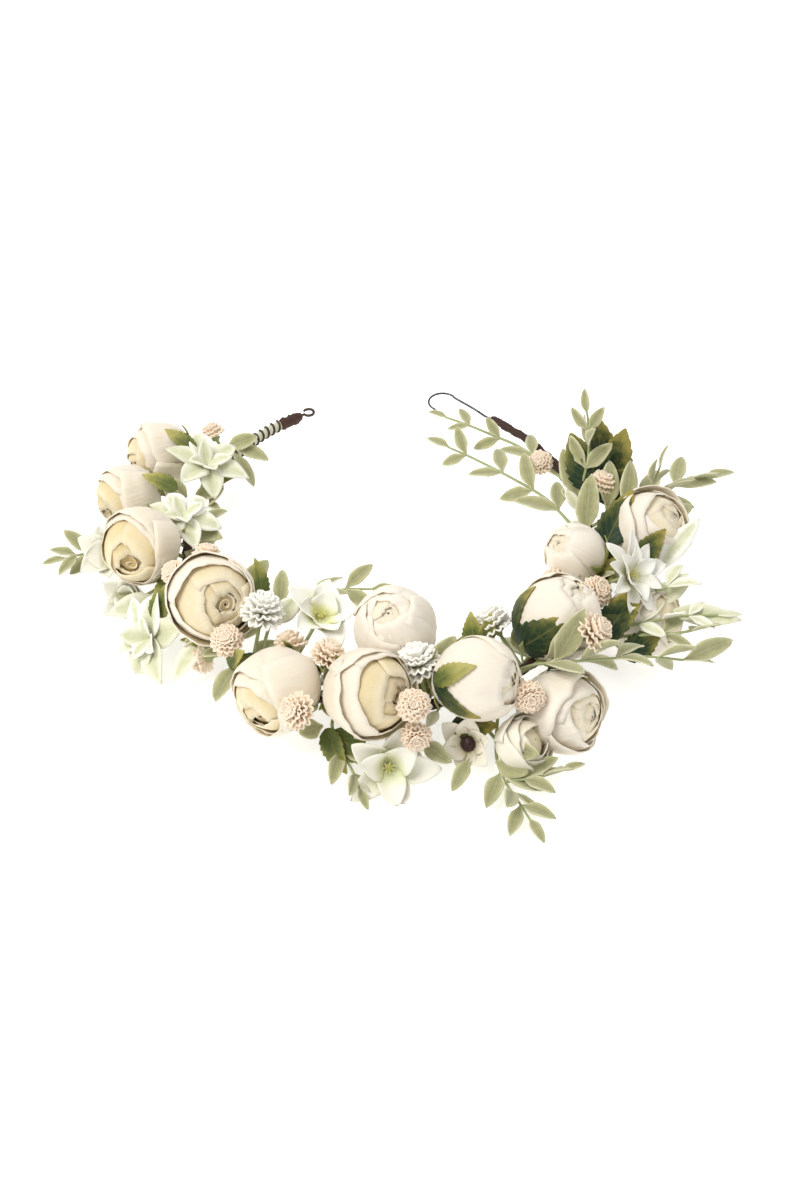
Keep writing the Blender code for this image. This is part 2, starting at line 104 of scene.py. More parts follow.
# name: (along, out, up), radius, facing of the calyx, root angle,
# direction of the opening, shape, how far it is open, how yellow it is
ROSES = {
    "rose_01": ((-112, 23, 24), 12.5, (-0.85, -0.3, 0.4), -112, (-0.85, -0.35, 0.1), "open", 0.9, 0.8),
    "rose_02": ((-99, 28, 22), 12, (-0.75, -0.5, 0.3), -101, (-0.85, -0.55, 0), "open", 1.1, 0.9),
    "rose_03": ((-79.5, 18, 30), 14, (-0.35, -0.65, 0.65), -83, (-0.55, -0.75, 0.35), "barrel", 1.2, 1),
    "rose_04": ((-55.5, 0.5, 33.5), 15.5, (0.05, -0.7, 0.7), -54, (0.15, -0.75, 0.6), "open", 1.05, 0.6),
    "rose_05": ((-26, 13, 26), 14.5, (-0.35, -0.8, 0.2), -27, (-0.7, -0.7, 0.05), "barrel", 0.8, 1),
    "rose_06": ((-6, 8, 31), 15, (0.35, -0.7, 0.6), -8, (0.5, -0.65, 0.55), "open", 0.95, 0.9),
    "rose_07": ((20.5, 7, 30.5), 14.5, (0.75, -0.4, 0.5), 17, (0.8, -0.45, 0.4), "bud", 0.6, 0.3),
    "rose_08": ((47.5, 3.5, 33), 15, (0.5, 0.2, 0.8), 45, (0.45, 0.1, 0.9), "bud", 0.5, 0.3),
    "rose_09": ((36, 24.5, 12), 14, (0.8, -0.5, 0.2), 35, (0.7, -0.6, 0.4), "loose", 0.9, 0.1),
    "rose_10": ((68, 27, 11), 13, (0.9, -0.2, 0.4), 69, (0.8, -0.4, 0.5), "loose", 0.9, 0.2),
    "rose_11": ((87, 22.5, 24), 15, (0.8, 0.2, 0.6), 87, (0.6, -0.3, 0.75), "loose", 0.9, 0.15),
    "rose_12": ((75.5, -6, 27), 11, (-0.7, 0.3, 0.3), 76, (-0.6, -0.2, 0.7), "bud", 0.7, 0.1),
    "rose_13": ((0.5, -27, 30.5), 14.5, (0, 0, 1), 1, (-0.2, -0.35, 0.9), "bud", 0.9, 0.05),
}

# name: shape, root angle, then one (place, radius, look, facing if not away from the root) for each head
SPRAYS = {
    "mum_spray_1": ("mum", -123, [((-124, 9, 24), 5, "blush")]),
    "mum_spray_2": (
        "mum", -70, [((-72, -7, 30), 5.5, "blush"), ((-67.5, 8, 32), 5, "blush")],
    ),
    "mum_spray_3": (
        "mum", -46, [((-43, 7.5, 30), 6, "blush"), ((-51.5, 9.5, 10), 6, "blush")],
    ),
    "mum_spray_4": (
        "mum", -22,
        [((-30.5, -7.5, 27), 6.5, "blush"), ((-18.5, -6.5, 31), 6.5, "blush"),
         ((-18, 26, 33.5), 6.5, "blush", (-0.6, -0.5, 0.6))],
    ),
    "mum_spray_5": (
        "mum", 5, [((4, 19, 35.5), 6, "blush"), ((4.5, 21, 20.5), 5.5, "blush")],
    ),
    "mum_spray_6": (
        "mum", 35, [((28.5, 22, 27.5), 6, "blush"), ((45, 23, 41.5), 7, "blush")],
    ),
    "mum_spray_7": ("mum", 99, [((100, 6.5, 30), 5.5, "blush")]),
    "mum_spray_8": (
        "mum", 65, [((63, 8, 28.5), 6, "blush"), ((65.5, -11.5, 24.5), 4.5, "blush")],
    ),
    "white_mum_1": ("mum", -40, [((-41, -8.5, 36), 8, "white")]),
    "white_mum_2": ("mum", 9, [((7, -5, 32), 8, "white")]),
    "white_mum_3": ("mum", 38, [((36.5, -15.5, 29), 7, "white")]),
    "blossom_spray_1": (
        "blossom", -80,
        [((-86, 33, 14), 8.5, "folded", (-0.6, -0.6, 0.65)),
         ((-77, 25.5, 5.5), 7.5, "folded", (-0.45, -0.7, 0.65))],
    ),
    "blossom_2": ("blossom", -1, [((-1, 25.5, 8), 10, "lily", (0.1, -0.8, 0.6))]),
    "blossom_spray_3": (
        "blossom", 21,
        [((15.5, 19.5, 9.5), 9, "burgundy", (-0.3, -0.75, 0.6)),
         ((25.5, 29, 11), 8, "broad", (0.7, -0.3, 0.7))],
    ),
    "blossom_4": ("blossom", 71, [((68, 20.5, 34.5), 9.5, "daisy", (0.6, -0.4, 0.7))]),
    "blossom_5": ("blossom", -30, [((-27, -23, 35), 9, "throat", (0.3, -0.2, 0.9))]),
    "mint_leaves_1": (
        "star", -97,
        [((-109.5, -2, 30), 10, "mint", (0.2, -0.1, 1)),
         ((-87.5, 0.5, 32), 9, "mint", (0.1, -0.2, 1))],
    ),
    "mint_leaves_2": ("star", -62, [((-62, 24.5, 11), 11.5, "mint", (-0.7, -0.6, 0.5))]),
}

# name: corners of the stem, share of it that is bare, number of leaf pairs, leaf length
SPRIGS = {
    "sprig_left": (
        [(-90.6, -1.5, 13), (-97, -1, 10), (-108, 1, 6.5), (-122, 2, 6), (-133, 0, 6), (-141, -3, 6)],
        0.58, 3, 13.5,
    ),
    "sprig_inner_front": (
        [(-52.5, -73.8, 14), (-51, -60, 18), (-46, -50, 22), (-33, -45, 25), (-20, -43, 26), (-9, -43, 26)],
        0.4, 3, 16,
    ),
    "sprig_front_left": (
        [(-21.5, -96.9, 13), (-24, -104, 12), (-21, -114, 11), (-16, -123, 7), (-13, -130, 4)],
        0.55, 2, 12,
    ),
    "sprig_front_right": (
        [(41.4, -87.2, 12.6), (41, -94, 10.8), (40, -102, 8.8), (39.5, -115, 5.5), (42, -126, 5),
         (47, -137, 5), (51, -145, 4)],
        0.62, 3, 15,
    ),
    "sprig_right_long": (
        [(44.5, -84.2, 15.5), (48, -87, 24), (56, -89, 30), (75, -88, 31), (96, -85, 30), (113, -82, 25)],
        0.42, 4, 19,
    ),
    "sprig_right_high": (
        [(85.1, 8.5, 14.5), (93, 12, 17), (103, 14, 20), (114, 19, 22), (124, 26, 24), (134, 28, 25)],
        0.45, 4, 18,
    ),
    "sprig_upright": (
        [(80.3, 24, 16.7), (81, 25, 24), (83, 29, 34), (83, 33, 45), (82, 38, 53)],
        0.42, 3, 14,
    ),
    "sprig_inner_right": (
        [(79.9, 3.4, 14), (75, 10, 15), (65, 24, 17), (50, 37, 18), (34, 50, 18), (24, 57, 18)],
        0.3, 4, 16,
    ),
}
FRONT_BRANCH = ([(42, -127, 5), (53, -127, 7), (64, -124, 8)], 0.3, 2, 13)

LEFT_ARM = {"rose_01", "rose_02", "rose_03", "mum_spray_1", "blossom_spray_1", "mint_leaves_1"}
RIGHT_ARM = {"rose_10", "rose_11", "rose_12", "mum_spray_7", "mum_spray_8", "blossom_4"}


def body_of(name):
    if name in LEFT_ARM:
        return "left_arm"
    if name in RIGHT_ARM:
        return "right_arm"
    if name in frame["bodies"]:
        return name
    return "front"


# ---------------------------------------------------------------- places and routes

def unit(vector):
    vector = np.asarray(vector, float)
    return vector / np.linalg.norm(vector)


def band_place(along, out=0.0, up=BAND_HEIGHT):
    angle = math.radians(along)
    half_width = HALF_WIDTH_LEFT if along < 0 else HALF_WIDTH_RIGHT
    on_wire = np.array((half_width * math.sin(angle), -HALF_DEPTH * math.cos(angle), 0.0))
    normal = unit((math.sin(angle) / half_width, -math.cos(angle) / HALF_DEPTH, 0.0))
    return on_wire + normal * out + UP * up


def bezier(start, middle, end, steps):
    t = np.linspace(0, 1, steps + 1)[:, None]
    return start * (1 - t) ** 2 + middle * (2 * t * (1 - t)) + end * t * t


def smooth_route(corners, steps=6):
    """Catmull-Rom curve through the given corners."""
    corners = [np.asarray(corner, float) for corner in corners]
    padded = [corners[0] * 2 - corners[1]] + corners + [corners[-1] * 2 - corners[-2]]
    points = []
    for a, b, c, d in zip(padded, padded[1:], padded[2:], padded[3:]):
        for i in range(steps):
            t = i / steps
            cubic = (b * 3 - a - c * 3 + d) * t ** 3
            points.append((b * 2 + (c - a) * t + (a * 2 - b * 5 + c * 4 - d) * t * t + cubic) / 2)
    return np.array(points + [corners[-1]])


def frames(points):
    """(tangents, sides, tops) along a route, turning as little as possible."""
    tangents = np.gradient(points, axis=0)
    tangents /= np.linalg.norm(tangents, axis=1)[:, None]
    side = np.cross(tangents[0], UP)
    if np.linalg.norm(side) < 0.1:
        side = np.cross(tangents[0], (1.0, 0.0, 0.0))
    sides = []
    for tangent in tangents:
        side = unit(side - tangent * side.dot(tangent))
        sides.append(side)
    sides = np.array(sides)
    return tangents, sides, np.cross(sides, tangents)


def axes_about(axis):
    """Matrix whose columns are two directions across an axis and the axis itself."""
    axis = unit(axis)
    side = np.cross(axis, UP)
    if np.linalg.norm(side) < 0.1:
        side = np.array((1.0, 0.0, 0.0))
    side = unit(side)
    return np.stack([side, np.cross(axis, side), axis], axis=1)


def petal_axes(axes, angle, tilt=0.0):
    """Directions of a petal that stands round an axis: outwards, along it, and the way its face looks."""
    outward = axes[:, 0] * math.cos(angle) + axes[:, 1] * math.sin(angle)
    heading = outward * math.sin(tilt) + axes[:, 2] * math.cos(tilt)
    return outward, heading, axes[:, 2] * math.sin(tilt) - outward * math.cos(tilt)


def stem_foot(root, target):
    wire = band_place(root)
    along = unit(band_place(root + 1) - band_place(root - 1))
    across = target - wire
    across -= along * across.dot(along)
    return wire + unit(across) * STEM_FOOT_OUT


def stem_route(back, facing, foot):
    handle = back - facing * (np.linalg.norm(back - foot) * STEM_HANDLE)
    return bezier(back, handle, foot, STEM_STEPS)


def random_for(name):
    return np.random.default_rng(zlib.crc32(name.encode()))


def smoothstep(value):
    value = np.clip(value, 0, 1)
    return value * value * (3 - 2 * value)


# ---------------------------------------------------------------- meshes

END_SHARE = 0.7


def place_object(name, data):
    made = bpy.data.objects.new(name, data)
    bpy.context.scene.collection.objects.link(made)
    return made


def numbers(points, first, second, third=0.0):
    """Three numbers for each point of a grid of points."""
    made = np.zeros(points.shape)
    made[..., 0], made[..., 1], made[..., 2] = first, second, third
    return made


class Pile:
    """Surfaces gathered into one mesh, with the numbers that its materials read at each point:
    tone is (depth, edge, shade) and lie is (across, along, 0)."""

    def __init__(self):
        self.points, self.tones, self.lies, self.faces, self.slots = [], [], [], [], []
        self.count = 0

    def grid(self, points, tone, lie, slot=0, caps=False):
        """Surface over rows of points, each row closed into a ring. caps closes a sheet's two ends."""
        rows, columns = points.shape[:2]
        index = np.arange(rows * columns).reshape(rows, columns) + self.count
        index = np.concatenate([index, index[:, :1]], axis=1)
        corners = [index[:-1, :-1], index[:-1, 1:], index[1:, 1:], index[1:, :-1]]
        quads = [np.stack(corners, -1).reshape(-1, 4)]
        if caps:
            half = columns // 2
            near, far = index[:, :half], index[:, columns - 1:half - 1:-1]
            quads.append(np.stack([near[0, 1:], near[0, :-1], far[0, :-1], far[0, 1:]], -1))
            quads.append(np.stack([near[-1, :-1], near[-1, 1:], far[-1, 1:], far[-1, :-1]], -1))
        quads = np.concatenate(quads)
        for store, values in ((self.points, points), (self.tones, tone), (self.lies, lie)):
            store.append(np.broadcast_to(values, points.shape).reshape(-1, 3))
        self.faces.append(quads)
        self.slots.append(np.full(len(quads), slot))
        self.count += rows * columns

    def shell(self, points, thickness, tone, inner_tone, lie):
        """Closed thin sheet round a grid of points. The outer side is the one its normals point to."""
        normals = np.cross(np.gradient(points, axis=1), np.gradient(points, axis=0))
        normals /= np.maximum(np.linalg.norm(normals, axis=2), 1e-9)[..., None]
        offset = normals * (thickness / 2)
        both, tones, lies = (
            np.concatenate([outer, inner[:, ::-1]], axis=1)
            for outer, inner in ((points + offset, points - offset), (tone, inner_tone), (lie, lie))
        )
        self.grid(both, tones, lies, caps=True)

    def tube(self, route, radius, sides=8, slot=0):
        """Round rod with rounded ends. radius is a number or one number for each point or grid point."""
        route = np.asarray(route, float)
        _, side, top = frames(route)
        radius = np.asarray(radius, float)
        if radius.ndim == 0:
            radius = np.full(len(route), float(radius))
        if radius.ndim == 1:
            radius = np.repeat(radius[:, None], sides, axis=1)
        first = unit(route[1] - route[0]) * radius[:1].mean()
        last = unit(route[-1] - route[-2]) * radius[:1].mean()
        route = np.concatenate([
            [route[0] - first, route[0] - first * END_SHARE], route,
            [route[-1] + last * END_SHARE, route[-1] + last],
        ])
        side, top = (np.concatenate([rows[:1], rows[:1], rows, rows[-1:], rows[-1:]]) for rows in (side, top))
        radius = np.concatenate([
            radius[:1] * 0.02, radius[:1] * 0.72, radius, radius[-1:] * 0.72, radius[-1:] * 0.02,
        ])
        turn = np.linspace(0, 2 * math.pi, sides, endpoint=False)
        round_ = side[:, None] * np.cos(turn)[:, None] + top[:, None] * np.sin(turn)[:, None]
        points = route[:, None] + round_ * radius[..., None]
        lie = numbers(points, turn / (2 * math.pi), np.linspace(0, 1, len(route))[:, None])
        self.grid(points, (0.5, 0.5, 0.5), lie, slot)

    def piece(self, name, body, materials, slot, replaces=()):
        """Make the piece, which rides on a body unless a blend follows, and stands for CAD nodes."""
        data = bpy.data.meshes.new(name)
        points = np.concatenate(self.points)
        low = points[:, 2] < TABLE_GAP + TABLE_SOFT
        depth = points[low, 2] - TABLE_GAP - TABLE_SOFT
        points[low, 2] = TABLE_GAP + TABLE_SOFT * np.exp(depth / TABLE_SOFT)
        points *= MM
        faces = np.concatenate(self.faces)
        data.from_pydata(points.tolist(), [], faces.tolist())
        for layer, values in (("tone", self.tones), ("lie", self.lies)):
            flat = np.concatenate(values)
            colours = np.concatenate([flat, np.ones((len(flat), 1))], axis=1).astype(np.float32)
            data.attributes.new(layer, "FLOAT_COLOR", "POINT").data.foreach_set("color", colours.ravel())
        for item in materials:
            data.materials.append(item)
        data.polygons.foreach_set("material_index", np.concatenate(self.slots).astype(np.int32))
        data.shade_smooth()
        data.validate()
        data.update()
        made = place_object(name, data)
        if body:
            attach(made, body)
        if replaces:
            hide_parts(*replaces)
        return made


# ---------------------------------------------------------------- leaves and petals

def outline(kind, t):
    """Half width of a leaf or petal along its length, as a share of its widest."""
    if kind == "lance":
        body = np.sin(math.pi * np.clip(t, 0, 1) ** 0.85) ** 0.6
        return body * (0.3 + 0.7 * smoothstep(t / 0.4))
    if kind == "mint":
        return np.sin(math.pi * np.clip(t, 0, 1) ** 0.9) ** 0.85
    if kind == "serrated":
        body = np.sin(math.pi * np.clip(t, 0, 1) ** 0.72) ** 0.8
        teeth = (t * 8.0) % 1.0
        return body * (0.86 + 0.17 * teeth)
    if kind == "spoon":
        stalk = 0.34 + 0.66 * smoothstep(t / 0.72)
        tip = np.sqrt(np.clip(1 - (np.clip(t - 0.72, 0, 1) / 0.285) ** 2, 0.0, 1))
        return stalk * tip
    if kind == "sepal":
        return np.clip(1 - t, 0, 1) ** 0.7 * (0.75 + 0.25 * np.sin(math.pi * t))
    if kind == "daisy":
        return np.sin(math.pi * np.clip(t, 0, 1) ** 0.9) ** 0.7 * (0.45 + 0.55 * smoothstep(t / 0.5))
    return np.sin(math.pi * np.clip(t, 0, 1) ** 0.8) ** 0.75


def blade(pile, base, heading, over, length, width, kind, rows=11, columns=7, bend=0.0, cup=0.0,
          fold=0.0, wave=0.0, phase=0.0, thickness=0.4, shade=0.5, depth=(0.0, 0.0)):
    """Leaf or petal that leaves base along heading and bends towards over by the given angle.
    cup and fold raise its sides; depth is its tone at the base and at the tip."""
    heading = unit(heading)
    over = unit(over - heading * np.dot(over, heading))
    side = np.cross(heading, over)
    t = np.linspace(0.0, 1.0, rows)[:, None]
    if kind == "spoon":
        t = np.sin(t * math.pi / 2)
    a = np.linspace(-1.0, 1.0, columns)[None, :]
    turn = math.radians(bend) if abs(bend) > 1 else math.radians(1)
    ahead = length * np.sin(turn * t) / turn
    raised = length * (1 - np.cos(turn * t)) / turn
    half = width / 2 * np.maximum(outline(kind, t), 0.03)
    sideways = half * a
    lift = fold * np.abs(sideways) + cup * sideways ** 2 / max(width, 1e-6) * 2
    lift = lift + wave * width * np.sin(t * 7 + a * 2.5 + phase) * np.abs(a) ** 1.5
    angle = turn * t
    normal = over[None, None] * np.cos(angle)[..., None] - heading[None, None] * np.sin(angle)[..., None]
    points = base + heading * ahead[..., None] + over * raised[..., None] + side * sideways[..., None]
    points = points + normal * lift[..., None]
    edge = np.maximum(np.abs(a) ** 2, smoothstep((t - 0.8) / 0.2) * 0.8)
    tone = numbers(points, depth[0] + (depth[1] - depth[0]) * t, edge, shade)
    pile.shell(points, thickness, tone, tone, numbers(points, a * 0.5 + 0.5, t))


def leaf_between(pile, base, tip, over, width, kind, rng, **options):
    """Leaf whose curve starts at base and ends at tip, with its face towards over."""
    base, tip = np.asarray(base, float), np.asarray(tip, float)
    length = np.linalg.norm(tip - base)
    bend = options.pop("bend", -18.0)
    heading = unit(tip - base)
    over = np.asarray(over, float)
    over = unit(over - heading * heading.dot(over))
    start = math.radians(-bend / 2)
    length *= start / math.sin(start)
    settings = {"fold": 0.25, "wave": 0.03, "thickness": 0.5, "rows": 13}
    if kind == "serrated":
        settings.update(rows=34, thickness=0.35, columns=9)
    settings.update(options)
    blade(pile, base, heading * math.cos(start) + over * math.sin(start), over, length, width, kind,
          bend=bend, phase=rng.uniform(0, 6), shade=rng.uniform(0, 1), **settings)


# ---------------------------------------------------------------- roses

ROSE_SWELL = 1.12
PETAL_FOOT = 162.0
PETAL_THICKNESS = 0.35
HEART_THICKNESS = 0.3
PETAL_STRETCH = 1.06
ROSE_SHAPES = {
    # count, half width, rim angle, share of the radius, flare, how pointed, for each ring of petals
    "open": [
        (3, 74, 66, 1.0, 0.15, 0.1), (3, 76, 54, 0.968, 0.075, 0.0), (3, 84, 27, 0.925, 0.03, 0.0),
        (3, 84, 14, 0.89, 0.02, 0.0),
    ],
    "barrel": [
        (3, 82, 60, 1.0, 0.08, 0.0), (3, 80, 50, 0.968, 0.05, 0.0), (3, 86, 24, 0.93, 0.025, 0.0),
        (2, 95, 13, 0.895, 0.015, 0.0),
    ],
    "bud": [(3, 88, 36, 1.0, 0.025, 0.25), (3, 88, 20, 0.966, 0.015, 0.2), (3, 95, 7, 0.935, 0.0, 0.0)],
    "loose": [
        (3, 80, 62, 1.02, 0.16, 0.8), (3, 82, 44, 0.975, 0.07, 0.5), (3, 88, 24, 0.935, 0.015, 0.3),
        (3, 95, 8, 0.9, 0.0, 0.1),
    ],
}
ROSE_HEARTS = {
    # outer radius, height of its rim, depth, turns
    "open": (0.24, 0.88, 0.12, 1.9),
    "barrel": (0.2, 0.87, 0.1, 1.6),
    "bud": (0.1, 0.9, 0.1, 1.2),
    "loose": (0.1, 0.86, 0.1, 1.2),
}
ROSE_CORES = {
    # share of the innermost ring's radius, stretch of its top, tone
    "open": (0.95, 1.02, 0.9),
    "closed": (0.975, 1.05, 0.3),
}
RING_TONES = (0.0, 0.1, 0.5, 0.68)
ROSE_LEANS = {"open": 0.1, "barrel": 0.14, "bud": 0.02, "loose": 0.05}


def on_ball(ball, x, y, z):
    """Points of a grid, given along the axes of a flower, as places."""
    centre, axes, _ = ball
    return np.stack(np.broadcast_arrays(x, y, z), axis=-1) @ axes.T + centre


def rose_petal(pile, ball, turn, half, rim, share, flare, point, ring, rng):
    """One petal that wraps round the ball from under it up to a rim at the given polar angle."""
    u = np.linspace(-1, 1, 19)[None, :]
    v = (np.linspace(0, 1, 14) ** 0.8)[:, None]
    rim = rim + rng.uniform(-1, 1) * (6.0 if ring < 2 else 3.0)
    droop = 15.0 if ring == 0 else 8.0
    edge = rim + droop * (1 - point) * np.abs(u) ** 2.6
    edge = edge + rng.uniform(1.5, 4) * np.sin(2.6 * u + rng.uniform(0, 6))
    edge = edge + 1.1 * np.sin(9 * u + rng.uniform(0, 6)) + 0.6 * np.sin(17 * u + rng.uniform(0, 6))
    edge = edge + point * 26 * np.abs(u) ** 1.2 - point * 8
    polar = np.radians(PETAL_FOOT + (edge - PETAL_FOOT) * v)
    around = math.radians(turn) + np.radians(half) * u * (0.5 + 0.5 * v ** 0.7)
    swell = 1 + 0.03 * u + flare * smoothstep((v - 0.68) / 0.32) ** 1.4 * (1 - 0.5 * np.abs(u) ** 2)
    ruffle = smoothstep((v - 0.55) / 0.45)
    crease = 0.012 * np.sin(u * 7 + rng.uniform(0, 6)) + 0.006 * np.sin(u * 19 + v * 3 + rng.uniform(0, 6))
    dent = 0.014 * np.sin(u * 3.1 + v * 4.2 + rng.uniform(0, 6))
    swell = swell + crease * (0.25 + ruffle) * (1.3 if ring < 2 else 0.6) + dent + rng.uniform(-0.01, 0.01)
    reach = ball[2] * share * swell
    across = reach * np.sin(polar)
    points = on_ball(ball, across * np.cos(around), across * np.sin(around),
                     reach * np.cos(polar) * PETAL_STRETCH)
    shade = rng.uniform(0, 1)
    outer = np.clip(RING_TONES[ring] + (0.3 if ring > 1 else 0.06) * (1 - v), 0, 1)
    inner = np.clip(0.18 + 0.08 * ring + 1.1 * (1 - v) ** 0.85, 0, 1)
    border = np.maximum(smoothstep((v - 0.86) / 0.14), np.abs(u) ** 8 * v)
    pile.shell(points, PETAL_THICKNESS, numbers(points, outer, border, shade),
               numbers(points, inner, border, shade), numbers(points, u * 0.5 + 0.5, v))


def rose_heart(pile, ball, outer, height, depth, turns, rng):
    """Scroll of petal at the middle of the opening."""
    steps = int(turns * 16)
    a = np.linspace(0.15, 1, steps)[None, :]
    v = np.linspace(0, 1, 7)[:, None]
    turn = a * turns * 2 * math.pi + rng.uniform(0, 6)
    ripple = 0.03 * np.sin(turn * 1.5 + rng.uniform(0, 6))
    top = height + 0.05 * (1 - a) + ripple
    reach = ball[2] * (outer * a ** 0.9) * (0.7 + 0.3 * v + 0.06 * v ** 3)
    points = on_ball(ball, reach * np.cos(turn), reach * np.sin(turn), ball[2] * (top - depth * (1 - v)))
    tone = numbers(points, np.clip(0.3 + 0.9 * (1 - v), 0, 1), smoothstep((v - 0.8) / 0.2) * 0.6,
                   rng.uniform(0, 1))
    pile.shell(points, HEART_THICKNESS, tone, tone, numbers(points, a, v))


def rose_core(pile, ball, share, top, depth):
    """Closed core that backs the petals, so that no light shows through between them."""
    polar = np.radians(np.linspace(178, 2, 12))[:, None]
    around = np.linspace(0, 2 * math.pi, 20, endpoint=False)[None, :]
    reach = ball[2] * share * (1 + 0.03 * np.cos(5 * around) * np.sin(polar))
    across = reach * np.sin(polar)
    height = np.where(polar > math.pi / 2, reach * np.cos(polar), reach * np.cos(polar) * top)
    points = on_ball(ball, across * np.cos(around), across * np.sin(around), height)
    pile.grid(points, (depth, 0.0, 0.5), (0.5, 0.5, 0.0))


def make_rose(name):
    place, radius, facing, root, opening, shape, open_share, yellow = ROSES[name]
    rng = random_for(name)
    centre = band_place(*place)
    facing = unit(facing)
    back_axes = axes_about(facing)
    radius *= ROSE_SWELL
    pile = Pile()
    axis = unit(opening)
    sideways = unit(np.cross(UP + 0.1, axis))
    rings = ROSE_SHAPES[shape]
    turn = rng.uniform(0, 360)
    for ring, (count, half, rim, share, flare, point) in enumerate(rings):
        lean = ROSE_LEANS[shape] * ring
        axes = axes_about(unit(axis + sideways * lean - UP * lean * 0.5))
        ball = (centre, axes, radius)
        for i in range(count):
            jitter = rng.uniform(-7, 7)
            rose_petal(pile, ball, turn + 360 * i / count + jitter, half, rim * open_share ** 0.7,
                       share * rng.uniform(0.99, 1.01), flare * rng.uniform(0.6, 1.3), point, ring, rng)
        turn += 180 / count + rng.uniform(10, 30)
    outer, height, depth, turns = ROSE_HEARTS[shape]
    rose_heart(pile, ball, outer * open_share, height, depth, turns, rng)
    fill, top, depth = ROSE_CORES["closed" if shape in ("bud", "loose") else "open"]
    rose_core(pile, ball, rings[-1][3] * fill, top, depth)
    pile.piece(name + "_petals", body_of(name), [rose_tint(yellow)], "rose_petal", [name])

    green = Pile()
    bottom = centre - facing * radius * 0.9
    foot = stem_foot(root, bottom)
    green.tube(stem_route(bottom, facing, foot), np.linspace(STEM_RADIUS * 1.3, STEM_RADIUS, STEM_STEPS + 1))
    hip = [centre - facing * radius * far for far in (0.88, 0.97, 1.05, 1.14)]
    green.tube(hip, [radius * 0.34, radius * 0.3, radius * 0.18, STEM_RADIUS * 1.4], 12)
    for i in range(5):
        angle = math.radians(72 * i + rng.uniform(-8, 8))
        outward, _, _ = petal_axes(back_axes, angle)
        start = centre - facing * radius * 1.02 + outward * radius * 0.1
        blade(green, start, outward * 0.95 - facing * 0.02, facing, radius * rng.uniform(0.95, 1.2),
              radius * 0.42, "sepal",
              rows=9, columns=5, bend=58, cup=0.4, thickness=0.45, shade=rng.uniform(0, 1), wave=0.04,
              phase=rng.uniform(0, 6))
    green.piece(name + "_green", body_of(name), [leaf_look], "rose_leaf", [name + "_calyx"])


# ---------------------------------------------------------------- small flowers

MUM_SWELL = 1.16
MUM_LAYERS = [
    # petals, lean from the axis, length, start height, as shares of the radius
    (15, 100, 1.0, -0.12), (15, 84, 0.98, 0.02), (14, 66, 0.92, 0.14), (12, 48, 0.84, 0.24),
    (9, 30, 0.74, 0.3), (5, 12, 0.66, 0.34),
]
WHITE_LAYERS = [
    (16, 104, 1.0, -0.14), (16, 88, 1.02, 0.0), (15, 72, 0.98, 0.12), (13, 56, 0.92, 0.2),
    (10, 40, 0.84, 0.27), (7, 24, 0.76, 0.3), (3, 10, 0.7, 0.32),
]


def make_mum(pile, centre, facing, radius, look, rng):
    layers, wide, bend = (MUM_LAYERS, 0.36, 32) if look == "blush" else (WHITE_LAYERS, 0.33, 24)
    axes = axes_about(facing)
    facing = axes[:, 2]
    radius *= MUM_SWELL
    for count, lean, length, height in layers:
        offset = rng.uniform(0, 360)
        for i in range(count):
            angle = math.radians(offset + 360 * (i + rng.uniform(-0.12, 0.12)) / count)
            tilt = math.radians(lean + rng.uniform(-5, 5))
            outward, heading, over = petal_axes(axes, angle, tilt)
            start = centre + facing * radius * (height - 0.05) + outward * radius * 0.08
            reach = radius * (length - 0.08) * rng.uniform(0.94, 1.05)
            # depth puts the petal bases at the material's painted shade colour, darker down between the
            # petals.
            blade(pile, start, heading, over, reach, radius * wide, "spoon", rows=8, columns=5, bend=bend,
                  cup=1.1, thickness=0.6, shade=rng.uniform(0, 1), depth=(1.0, 0.0))


STAMENS = 7
BLOSSOMS = {
    # petals, their length and width as shares of the radius, rise above flat, bend, cup, outline,
    # petals of a second ring
    "folded": (5, 1.75, 1.5, 36, 16, 0.6, "wide", 2),
    "lily": (5, 2.0, 1.15, 34, -26, 0.5, "wide", 3),
    "burgundy": (6, 1.4, 1.05, 34, 8, 0.5, "wide", 0),
    "daisy": (9, 1.75, 0.74, 26, -16, 0.6, "daisy", 6),
    "throat": (5, 1.7, 1.3, 30, -10, 0.5, "wide", 3),
}


